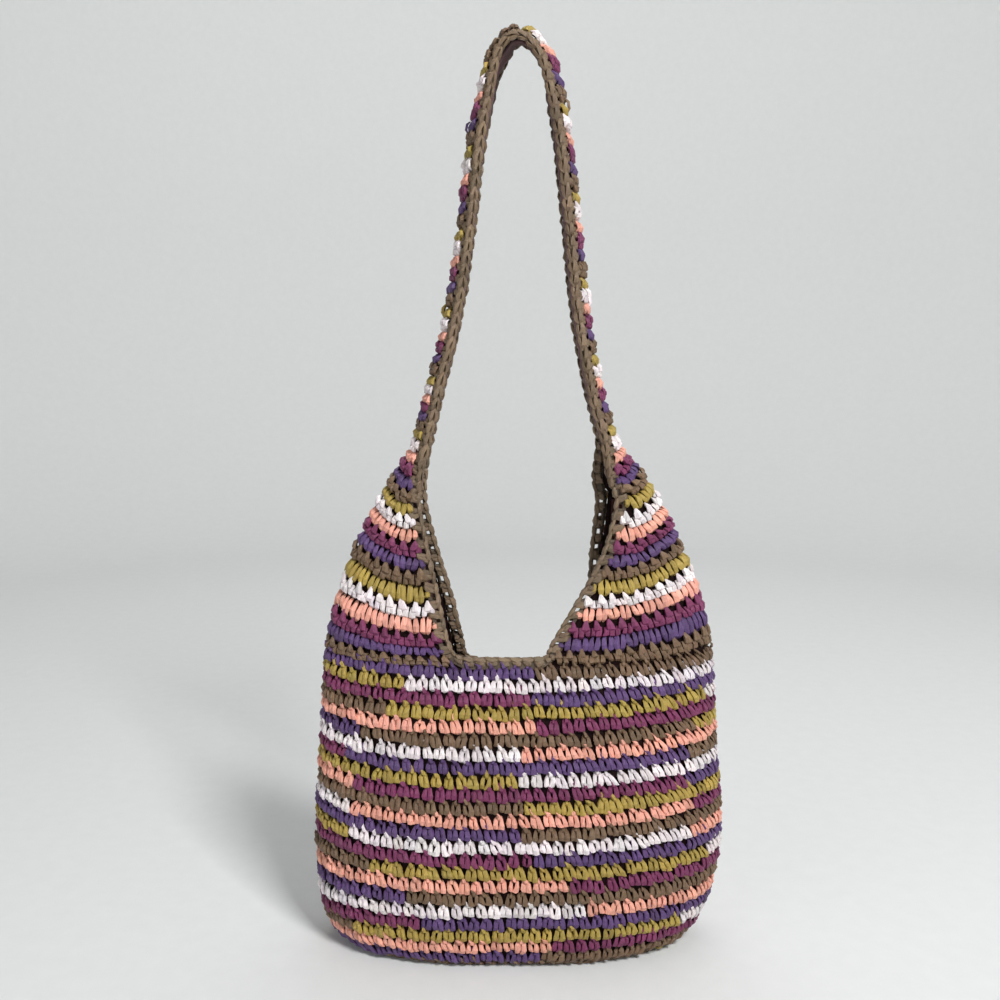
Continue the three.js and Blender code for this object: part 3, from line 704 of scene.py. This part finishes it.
w = w + chance.normal(0, LOOSE_SPREAD, len(w)) / pouch.width(q)
form_of = chance.choice(len(POUCH_FORMS), len(w), p=FORM_SHARE)
dye = uneven(dye)
print("stitches lean by", round(lean.min(), 2), "to", round(lean.max(), 2))

# %% Work the pouch
BANDS = {"pouch_base": (-BASE_ROWS, 2), "pouch_low_rounds": (2, 10),
         "pouch_middle_rounds": (10, 17), "pouch_top_rounds": (17, ROUNDS)}

for name, (first, end) in BANDS.items():
    batches = []
    for number, form in enumerate(POUCH_FORMS):
        pick = (k >= first) & (k < end) & (form_of == number)
        spots = lay(form, pouch, q[pick], w[pick],
                    lean=lean[pick], size=size[pick], lift=lift[pick])
        batches.append((form, spots, dye[pick]))
    piece = join_copies(name, batches, raffia_mixed)
    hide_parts("body")

# %% [markdown]
# ## Ears and strap, row by row
# From the neckline on, each row has one colour, in the order of the dyed yarn, the same on both
# sides. Petals and caps alternate. The strap goes on with four or five stitches to a row, up to the
# seam at the crown, and a few stitches there have worked loose and stand out.

# %% Rows of the sides
ROW_ORDER = ["brown", "purple", "maroon", "peach", "white", "gold"]
PETAL_ROWS = ("purple", "peach", "gold")
EDGE_MARGIN = 1.5 * MM
KNOB_PAST = 1.2 * MM
LOOSE_LIFT, LOOSE_TALL = 1.7 * MM, 1.3
ROW_RANGE = (0.7, 1.35)
FEWEST = 4
START_RISE, START_ROWS = 0.6, 4
BROWN_FROM = {"left": 73, "right": 99}  # 99 is past the last row
LOOSE = {"left": [(62.1, 0.64, "purple"), (49.7, 0.62, "gold")],
         "right": [(63.6, 0.36, "brown"), (51.1, 0.38, "white"), (50.6, 0.34, "white")]}
# number of a row, and where on the sheet it lies
ROW_MAP = {
    "left": np.array([
        (24, 24), (25.5, 25.6), (26.5, 26.75), (28.5, 29.5), (30.5, 31.8), (33.5, 34.6),
        (36.5, 37.1), (38.5, 38.6), (41.5, 41), (47.5, 44.8), (53.5, 49.6), (59.5, 55),
        (65.5, 60.5), (76, 70)]),
    "right": np.array([
        (24, 24.3), (25.5, 26.3), (27.5, 29.1), (30.5, 32.1), (33.5, 34.6), (36.5, 37.6),
        (39.5, 39.8), (41.5, 41.5), (47.5, 46.55), (53.5, 51.8), (59.5, 57.5), (65.5, 63.3),
        (72, 70)]),
}

def side_rows(sheet, hand):
    rows, at_rows = ROW_MAP[hand].T
    work = {"petal": [], "lobes": [], "cap": [], "knob": []}
    for row in range(ROUNDS, int(rows[-1])):
        low, middle, high = np.interp([row, row + 0.5, row + 1], rows, at_rows)
        last = row >= BROWN_FROM[hand]
        colour = "brown" if last else ROW_ORDER[(row - ROUNDS) % len(ROW_ORDER)]
        tall = np.clip(high - low, *ROW_RANGE)
        room = 1 - 2 * EDGE_MARGIN / sheet.width(middle)
        count = max(int(round(sheet.width(middle) * room / STITCH_WIDE)), FEWEST)
        plain = colour in PETAL_ROWS or last
        for kind in ("petal",) if plain else ("lobes", "cap"):
            steps = np.arange(count + 1) if kind == "cap" else np.arange(count) + 0.5
            at = 0.5 + room * (steps / count - 0.5)
            fade = 1 - bell((row - ROUNDS) / START_ROWS)
            start = START_RISE * fade * (1 - np.abs(2 * at - 1)) ** 2
            work[kind] += [(middle + up, across, colour, tall, 0) for up, across in zip(start, at)]
        if row > ROUNDS:
            past = KNOB_PAST / sheet.width(middle)
            work["knob"] += [(middle, -past, colour, 1, 0), (middle, 1 + past, colour, 1, 0)]
    work["knob"] += [(*spot, LOOSE_TALL, LOOSE_LIFT) for spot in LOOSE[hand]]
    return work

print("rows in the left half", int(ROW_MAP["left"][-1, 0]) - ROUNDS)

# %% [markdown]
# The edges of an ear run aslant, and a stitch that followed them would lean over. The hook holds
# stitches more upright than that, so most of the sheet's slant is measured and taken off again.

# %% Work the sides
UPRIGHT = 0.8
STEP_UP, STEP_ACROSS = 0.1, 0.004
SIDE_LEAN, SIDE_LEAN_SPREAD = {"left": -0.04, "right": -0.18}, 0.12
SIDE_SIZE, SIDE_SPREAD, SIDE_RANGE = (1.08, 1.06, 1), 0.1, (0.78, 1.24)
SIDE_ROW_SPREAD, SIDE_SHIFT = 0.04, 0.4 * MM
STRAP_LIFT = 0.9 * MM

def slant(sheet, q, w):
    flat = np.zeros_like(q)
    up = sheet.place(q + STEP_UP, w, flat) - sheet.place(q - STEP_UP, w, flat)
    across = sheet.place(q, w + STEP_ACROSS, flat) - sheet.place(q, w - STEP_ACROSS, flat)
    across = across / np.linalg.norm(across, axis=1, keepdims=True)
    return (up * across).sum(axis=1) / (2 * STEP_UP * ROW)

def side_pieces(hand):
    sheet = sides[hand]
    ear, strap = [], []
    for form, stitches in zip((petal, lobes, cap, knob), side_rows(sheet, hand).values()):
        q, w, colours, tall, proud = (np.array(column) for column in zip(*stitches))
        many = len(q)
        on_ear = q < STRAP_START
        q = q + chance.normal(0, SIDE_ROW_SPREAD, many)
        w = w + chance.normal(0, SIDE_SHIFT, many) / sheet.width(q)
        lean = chance.normal(SIDE_LEAN[hand], SIDE_LEAN_SPREAD, many)
        lean = lean - UPRIGHT * slant(sheet, q, w)
        size = chance.normal(SIDE_SIZE, SIDE_SPREAD, (many, 3)).clip(*SIDE_RANGE)
        size[:, 1] *= tall
        lift = chance.normal(0, LOOSE_SPREAD, many) + np.where(on_ear, 0, STRAP_LIFT) + proud
        dye = uneven(np.array([DYES[colour] for colour in colours]))
        for batches, part in ((ear, on_ear), (strap, ~on_ear)):
            spots = lay(form, sheet, q[part], w[part],
                        lean=lean[part], size=size[part], lift=lift[part])
            batches.append((form, spots, dye[part]))
    for node, batches in ((f"ear_{hand}", ear), (f"strap_{hand}", strap)):
        piece = join_copies(node + "_rows", batches, raffia_mixed)
        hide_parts(node)

side_pieces("left")
side_pieces("right")

# %% [markdown]
# ## The ground behind the stitches
# Each stitch also has loops at the back, which show only in the gaps. A thin closed sheet stands
# for them; its near-black colour is painted shade, not a dye of the yarn. It lies on the crochet
# sheet itself, so the rows are as wide and high there.

# %% Mesh of a grid
WELD = 0.0004

def grid_mesh(name, spots, flat, material, closed, keep=None, layer_name="strand"):
    rows, count = spots.shape[:2]
    i, j = np.mgrid[:rows - 1, :count if closed else count - 1]
    low, high, n = i * count, (i + 1) * count, (j + 1) % count
    faces = np.stack([low + j, low + n, high + n, high + j], axis=-1)
    faces = faces.reshape(-1, 4) if keep is None else faces[keep[:-1]]
    mesh = bpy.data.meshes.new(name)
    mesh.from_pydata(spots.reshape(-1, 3).tolist(), [], faces.tolist())
    layer = mesh.uv_layers.new(name=layer_name)
    layer.data.foreach_set("uv", flat.reshape(-1, 2)[faces].astype(np.float32).ravel())
    return show_piece(name, mesh, material)

def thicken(piece, thick, weld=False):
    if weld:
        bpy.ops.object.mode_set(mode="EDIT")
        bpy.ops.mesh.select_all(action="SELECT")
        bpy.ops.mesh.remove_doubles(threshold=WELD)
        bpy.ops.object.mode_set(mode="OBJECT")
    area = sum(face.area for face in piece.data.polygons)
    solid = piece.modifiers.new("thick", "SOLIDIFY")
    solid.thickness = thick
    solid.offset = 0
    bpy.ops.object.modifier_apply(modifier="thick")
    bpy.ops.object.shade_smooth()
    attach(piece, "root")
    return area

def dye_all(piece, dye):
    paint(piece.data, np.tile(dye, (len(piece.data.vertices), 1)))

# %% Ground sheets
GROUND_IN = 3.6 * MM
GROUND_THICK = 1.6 * MM
GROUND_STREAKS = 60
BASE_EDGE, BASE_STEP, WALL_STEP = -3.6, 0.4, 0.5  # rows
ROUND_COLUMNS, EAR_COLUMNS, STRAP_COLUMNS = 181, 41, 13

def ground_piece(name, sheet, rows, columns, node, closed=False):
    q, w = np.meshgrid(rows, columns, indexing="ij")
    spots = sheet.place(q, w, np.full(q.shape, -GROUND_IN))
    spots[..., 2] = np.maximum(spots[..., 2], GROUND_THICK / 2)
    flat = np.stack([w * GROUND_STREAKS, q], axis=-1)
    piece = grid_mesh(name, spots, flat, raffia_back, closed)
    area = thicken(piece, GROUND_THICK, weld=closed)
    # painted shade: the sheet is near black instead of the colour of its yarn
    dye_all(piece, DYES["shade"])
    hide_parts(node)
    wide = max(sheet.width(row) for row in rows)

round_columns = np.linspace(0, 1, ROUND_COLUMNS)[:-1]
base_rows = np.arange(BASE_EDGE, 0, BASE_STEP)
ground_rows = np.r_[base_rows, np.arange(0, ROUNDS + 0.01, WALL_STEP)]
ground_piece("pouch_ground", pouch, ground_rows, round_columns, "body", closed=True)
ear_rows = np.arange(ROUNDS, STRAP_START + 0.01, WALL_STEP)
strap_rows = np.arange(STRAP_START, CROWN + 0.01, WALL_STEP)
for hand in ("left", "right"):
    ground_piece(f"ear_{hand}_ground", sides[hand], ear_rows, np.linspace(0, 1, EAR_COLUMNS),
                 f"ear_{hand}")
    ground_piece(f"strap_{hand}_ground", sides[hand], strap_rows,
                 np.linspace(0, 1, STRAP_COLUMNS), f"strap_{hand}")

# %% [markdown]
# ## Edging
# A plain taupe edging closes the sheet's edges: posts wrap over the edge from front to back, and a
# chain of small vees runs along its rim. It has its own sheet, which goes over the edge in a half
# circle, so the posts and the chain are laid on it by the same call. Along the ears the posts stand
# in pairs, with open eyelets between.

# %% Line of the edging
SHEET_THICK = 5.5 * MM
EDGING_WIDE, EDGING_NECK = 8 * MM, 4.5 * MM
PEEK_ACROSS, PEEK_DOWN = 0.02, 0.2
BRIM_FACE, NECK_STOPS = 0.03, 12

def edge_frames(sheet, q, w, inward, wide):
    flat = np.zeros_like(q)
    n = sheet.place(q, w, np.ones_like(q)) - sheet.place(q, w, flat)
    spot = sheet.place(q, w, np.full_like(q, -SHEET_THICK / 2))
    away = sheet.place(q, w, flat) - sheet.place(q + inward[0], w + inward[1], flat)
    away = away - n * (away * n).sum(axis=1, keepdims=True)
    return spot, away / np.linalg.norm(away, axis=1, keepdims=True), n, np.full(len(q), wide)

def edging_loop(front):
    rows = np.arange(ROUNDS + 1, CROWN + 0.01, 0.5)
    right_end = 0.0 if front else 1.0
    ends = []
    for hand, end in (("right", right_end), ("left", 1 - right_end)):
        inward = (0, PEEK_ACROSS if end == 0 else -PEEK_ACROSS)
        frames = edge_frames(sides[hand], rows, np.full_like(rows, end), inward, EDGING_WIDE)
        ends.append([part if hand == "right" else part[::-1][1:] for part in frames])
    left_x, right_x = PANEL_TOP[:2] if front else PANEL_TOP[2:]
    brim = pouch.points[-1]
    facing = brim[:, 1] < -BRIM_FACE if front else brim[:, 1] > BRIM_FACE
    inside = np.where(facing & (brim[:, 0] >= -left_x) & (brim[:, 0] <= right_x))[0]
    inside = inside[np.argsort(brim[inside, 0])]
    w = inside[::max(len(inside) // NECK_STOPS, 1)] / (len(brim) - 1)
    ends.append(edge_frames(pouch, np.full_like(w, ROUNDS), w, (-PEEK_DOWN, 0), EDGING_NECK))
    rows_at = np.r_[rows, rows[::-1][1:], np.full(len(w), ROUNDS)]
    return [np.concatenate(part) for part in zip(*ends)], rows_at

print("the front edge has", len(edging_loop(True)[1]), "stops")

# %% Edging sheet
RIM = 2.5 * MM
HALF_TURN = RIM * math.pi / 2
EDGING_GAP, EDGING_DEEP, EDGING_STEP = 0.8 * MM, 14 * MM, 0.5 * MM
EDGING_POINTS, SMOOTH_TIMES = 901, 3

def smooth_loop(values):
    for _ in range(SMOOTH_TIMES):
        values = (2 * values + np.roll(values, 1, axis=0) + np.roll(values, -1, axis=0)) / 4
    return values

def edging_sheet(front):
    (spot, away, n, wide), rows_at = edging_loop(front)
    spot, away, n, wide = (smooth_loop(v) for v in (spot, away, n, wide))
    way = way_along(np.r_[spot, spot[:1]])
    at = np.linspace(0, way[-1], EDGING_POINTS)
    spot, away, n = (resample(np.r_[v, v[:1]], way, at) for v in (spot, away, n))
    wide, row_at = (np.interp(at, way, np.r_[v, v[:1]]) for v in (wide, rows_at))
    path = np.arange(-HALF_TURN - EDGING_DEEP, HALF_TURN + EDGING_DEEP, EDGING_STEP)
    past = np.abs(path) - HALF_TURN
    angle = np.clip(path / RIM, -math.pi / 2, math.pi / 2)
    middle = EDGING_GAP + wide - RIM
    out = middle[None] + (RIM * np.cos(angle) - np.maximum(past, 0))[:, None]
    side = -RIM * np.sin(angle)
    grid = spot[None] + out[..., None] * away[None] + side[:, None, None] * n[None]
    if not front:
        grid, row_at = grid[:, ::-1], row_at[::-1]
    return Sheet(path, grid, closed=True), row_at, way[-1]

# %% Edging strands
LEAF = [(0.3, -5.6, -0.9, 0.8, 0.6), (1.5, -2.6, 0.2, 1.6, 1.0), (2.2, 1.0, 0.4, 1.8, 1.1),
        (2.3, 4.6, -0.4, 1.3, 0.9), (1.9, 7.2, -1.6, 0.7, 0.6)]
LOW_POST = [(0.6, -11.0, -1.8, 1.2, 0.7), (0.5, -9.6, -0.1, 2.3, 1.1), (0.2, -7.2, 0.2, 2.4, 1.1),
            (-0.3, -4.0, -0.6, 1.7, 0.9)]
EYELET_POST = [(0.9, -11.6, -1.8, 1.4, 0.7), (0.7, -10.2, 0.0, 2.6, 1.1),
               (0.5, -8.2, 0.2, 2.6, 1.2), (0.1, -6.0, 0.0, 2.1, 1.1), (0.0, -3.2, -0.7, 1.8, 0.9)]
INNER_POST = [(0.8, -9.0, -1.6, 1.6, 0.7), (0.5, -8.0, 0.0, 2.4, 1.1), (0.1, -6.0, 0.0, 2.1, 1.1),
              (0.0, -3.2, -0.7, 1.8, 0.9)]

def other_face(stops):
    return [(x, -up, out, wide, thick) for x, up, out, wide, thick in reversed(stops)]

vee = draw_all(LEAF, other_leg(LEAF))
strap_post = draw_all(LOW_POST, other_face(INNER_POST))
left_post = draw_all(EYELET_POST, other_face(INNER_POST))
right_post = draw_all(other_leg(EYELET_POST), other_face(other_leg(INNER_POST)))
print("vee", len(vee.totals), "faces, post", len(left_post.totals), "faces")

# %% [markdown]
# In the gaps of the edging a closed band shows behind the posts, in the taupe made darker as
# painted shade. It is a grid on the same sheet, from which the faces at the eyelets are left out,
# so that light comes through them.

# %% Eyelets and band
EYELET_FIRST = 2.5  # rows above the neckline
EYELET_LONG, EYELET_LOW, EYELET_HIGH = 4.6 * MM, 3.9 * MM, 6.9 * MM
BAND_LOW, BAND_HIGH, BAND_STEP, BAND_COLUMNS = -10, 8.1, 0.75, 600
BAND_IN, BAND_THICK = 1.3 * MM, 1.0 * MM
# the band's taupe is darkened to 0.45: painted shade behind the posts
BAND_STREAKS, BAND_PAINTED_SHADE = 90, 0.45

def eyelet_spots(row_at):
    rows = np.arange(ROUNDS + EYELET_FIRST, STRAP_START, 1)
    here, then = row_at[:-1], row_at[1:]
    low, high = np.minimum(here, then)[:, None], np.maximum(here, then)[:, None]
    i, row = np.nonzero((rows >= low) & (rows < high))
    return (i + (rows[row] - here[i]) / (then[i] - here[i])) / len(here)

def edging_ground(name, node, sheet, holes, length):
    rows = np.arange(BAND_LOW, BAND_HIGH, BAND_STEP) * MM
    columns = np.linspace(0, 1, BAND_COLUMNS + 1)[:-1]
    q, w = np.meshgrid(rows, columns, indexing="ij")
    spots = sheet.place(q, w, np.full(q.shape, -BAND_IN))
    middle_w, middle_q = w + 0.5 / BAND_COLUMNS, np.abs(q + BAND_STEP / 2 * MM)
    near = np.min(np.abs((middle_w[..., None] - holes + 0.5) % 1 - 0.5), axis=2) * length
    keep = ~((near < EYELET_LONG / 2) & (middle_q > EYELET_LOW) & (middle_q < EYELET_HIGH))
    flat = np.stack([w * BAND_STREAKS, q / ROW], axis=-1)
    piece = grid_mesh(name, spots, flat, raffia_taupe, True, keep)
    thicken(piece, BAND_THICK)
    # painted shade: the band is the edging's taupe, darkened
    dye_all(piece, np.array(DYES["taupe"]) * BAND_PAINTED_SHADE)
    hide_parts(node)

# %% Work the edging
LINK, LINK_LIFT = 9.2 * MM, 0.2 * MM
POST_STEP, POST_LEAN, POST_APART, POST_DARK = 4.6 * MM, 0.16, 1.6 * MM, 0.92
EDGING_SPREAD, POST_SPREAD, TAUPE_SPREAD = 0.06, 0.07, 0.12
PAIR_OFF, PAIR_NEAR, PAIR_CLEAR = 0.5, 0.3, 0.62  # rows
NECK_ROWS, NECK_SHORT = 0.6, 0.72

def taupe(count):
    return uneven(np.tile(DYES["taupe"], (count, 1)), TAUPE_SPREAD)

def edging_piece(name, front):
    sheet, row_at, length = edging_sheet(front)
    count = int(round(length / LINK))
    w = (np.arange(count) + 0.5) / count
    chain = lay(vee, sheet, np.zeros(count), w, row=1.0, turned=True, lift=LINK_LIFT,
                size=chance.normal(1, EDGING_SPREAD, (count, 3)),
                lean=chance.normal(0, EDGING_SPREAD, count))
    batches = [(vee, chain, taupe(count))]
    holes = eyelet_spots(row_at)
    off = PAIR_OFF * ROW / length
    pairs = np.sort(np.concatenate([holes - off, holes + off]))
    pairs = pairs[np.r_[True, np.diff(pairs) > PAIR_NEAR * ROW / length]]
    steps = np.arange(int(length / POST_STEP)) * POST_STEP / length
    near = np.min(np.abs((steps[:, None] - pairs + 0.5) % 1 - 0.5), axis=1)
    apart = POST_APART / length
    posts = ((strap_post, steps[near > PAIR_CLEAR * ROW / length]),
             (left_post, pairs - apart), (right_post, pairs + apart))
    for form, spots in posts:
        many = len(spots)
        size = chance.normal(1, EDGING_SPREAD, (many, 3))
        row = np.interp(spots % 1, np.linspace(0, 1, len(row_at)), row_at)
        size[row < ROUNDS + NECK_ROWS, 1] *= NECK_SHORT
        lean = chance.normal(0, POST_SPREAD, many) + POST_LEAN * (-1.0) ** np.arange(many)
        laid = lay(form, sheet, np.zeros(many), spots, row=1.0, size=size, lean=lean)
        batches.append((form, laid, taupe(many) * POST_DARK))
    node = name.replace("_rounds", "")
    piece = join_copies(name, batches, raffia_taupe)
    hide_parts(node)
    edging_ground(node + "_ground", node, sheet, holes, length)
    print(name, "is", round(length, 3), "m long with", count, "links,", len(holes), "eyelets")

edging_piece("edging_front_rounds", True)
edging_piece("edging_back_rounds", False)

# %% [markdown]
# ## Lining
# Inside is a thin woven cloth: a bag in the pouch, a panel up each ear, and a smooth strip under
# the strap. The bag and the ear panels get a much darker copy of the strip's cloth: the darkening
# is painted shade for the inside. Each is a grid of points on the same sheets, a little further in,
# given its thickness by Solidify. Small ripples keep it from looking like a moulding.

# %% Cloth finish
def cloth_finish(name, warp, weft):
    material, tree, shader = new_finish(
        name, {"Roughness": 0.85, "Specular IOR Level": 0.15, "Sheen Weight": 0.06})
    uv = add_node(tree, "UVMap", uv_map="cloth")
    check = add_node(tree, "TexChecker", {"Scale": 1400})
    weave = add_node(tree, "Mix", data_type="FLOAT")
    for direction, socket in (("X", "A"), ("Y", "B")):
        thread = add_node(tree, "TexWave", {"Scale": 220, "Distortion": 0.6},
                          bands_direction=direction)
        wire(tree, (uv, "UV", thread, "Vector"), (thread, "Fac", weave, socket))
    slub = add_node(tree, "TexNoise", {"Scale": 40, "Detail": 4})
    half = add_node(tree, "Math", {1: 0.7}, operation="MULTIPLY")
    blend = add_node(tree, "Math", {1: 0.5}, operation="MULTIPLY_ADD")
    tone = add_tones(tree, warp, weft)
    bump = add_node(tree, "Bump", {"Strength": 0.4, "Distance": 0.0003})
    wire(tree, (uv, "UV", check, "Vector"), (check, "Fac", weave, "Factor"),
         (weave, "Result", blend, 0), (uv, "UV", slub, "Vector"), (slub, "Fac", half, 0),
         (half, "Value", blend, 2), (blend, "Value", tone, "Fac"),
         (tone, "Color", shader, "Base Color"), (blend, "Value", bump, "Height"),
         (bump, "Normal", shader, "Normal"))
    print("finish", name)
    return material

# the same cloth twice: the first, for the bag and the ear panels, is darkened as painted shade
lining_painted_shade = cloth_finish("lining_painted_shade", (0.024, 0.007, 0.006), (0.075, 0.024, 0.020))
lining_plum = cloth_finish("lining_plum", (0.080, 0.036, 0.040), (0.190, 0.100, 0.100))

# %% Cloth on a grid
LINING_IN, LINING_THICK = 7.5 * MM, 1.2 * MM
RIPPLE = 0.5 * MM
CLOTH_STEP = 0.5  # rows

def ripple(q, w, height):
    long_wave = np.sin(q * 1.7 + 1.3 * np.sin(w * 9)) * 0.6
    return height * (long_wave + np.sin(w * 31 + q * 0.9) * 0.4)

def cloth_piece(name, sheet, rows, columns, node, material,
                closed=False, height=RIPPLE, inward=LINING_IN):
    q, w = np.meshgrid(rows, columns, indexing="ij")
    spots = sheet.place(q, w, -inward - height + ripple(q, w, height))
    across = w * np.array([sheet.width(row) for row in rows])[:, None]
    flat = np.stack([across, q * ROW], axis=-1)
    piece = grid_mesh(name, spots, flat, material, closed, layer_name="cloth")
    area = thicken(piece, LINING_THICK, weld=closed)
    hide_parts(node)
    print(name, "cloth area", round(area, 4), "m2")
    return piece, area

# %% Sew the linings
BAG_LOW, BAG_HIGH, BAG_ROWS = -3.4, 23, 26.5
EAR_UNDER, EAR_SHORT, EAR_LINED = 0.9, 0.2, 13.8  # rows
EAR_SHARE = 0.92
PANEL_COLUMNS = np.linspace(0.04, 0.96, 31)
bag_rows = np.r_[np.arange(BAG_LOW, 0, CLOTH_STEP), np.arange(0, BAG_HIGH + 0.01, CLOTH_STEP)]
bag_cloth, bag_area = cloth_piece("lining_bag", pouch, bag_rows, round_columns,
                                  "lining_pouch", lining_painted_shade, closed=True)
panel_rows = np.arange(ROUNDS - EAR_UNDER, STRAP_START - EAR_SHORT, CLOTH_STEP)
for hand in ("left", "right"):
    panel, area = cloth_piece(f"lining_ear_{hand}", sides[hand], panel_rows, PANEL_COLUMNS,
                              "lining_pouch", lining_painted_shade)
    wide, tall = EAR_SHARE * sides[hand].widths[0], EAR_LINED * ROW

# %% Strip under the strap
def strip_sheet():
    left, right = sides["left"], sides["right"]
    pick = (left.rows >= STRAP_START) & (left.rows <= CROWN)
    grid = np.concatenate([right.points[pick], left.points[pick][::-1][1:, ::-1]])
    return Sheet(np.arange(len(grid)) * FINE_ROW, grid, closed=False)

STRIP_IN, STRIP_RIPPLE, STRIP_WIDE = 8.4 * MM, 0.1 * MM, 0.0285
STRIP_FIRST, STRIP_LAST = 1.6, 1.5  # rows left free at the two ends
STRIP_COLUMNS = np.linspace(0.10, 0.90, 9)
strip = strip_sheet()
strip_rows = np.arange(STRIP_FIRST, strip.rows[-1] - STRIP_LAST, CLOTH_STEP)
strip_cloth, strip_area = cloth_piece("lining_strip", strip, strip_rows, STRIP_COLUMNS,
                                      "lining_strap", lining_plum,
                                      height=STRIP_RIPPLE, inward=STRIP_IN)

# %% [markdown]
# ## Size
# The box of the finished model is measured and printed. It may stand proud of it by only a little.

# %% Size and finish
low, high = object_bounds()
print("visual box", [round(v, 4) for v in (*low, *high)])
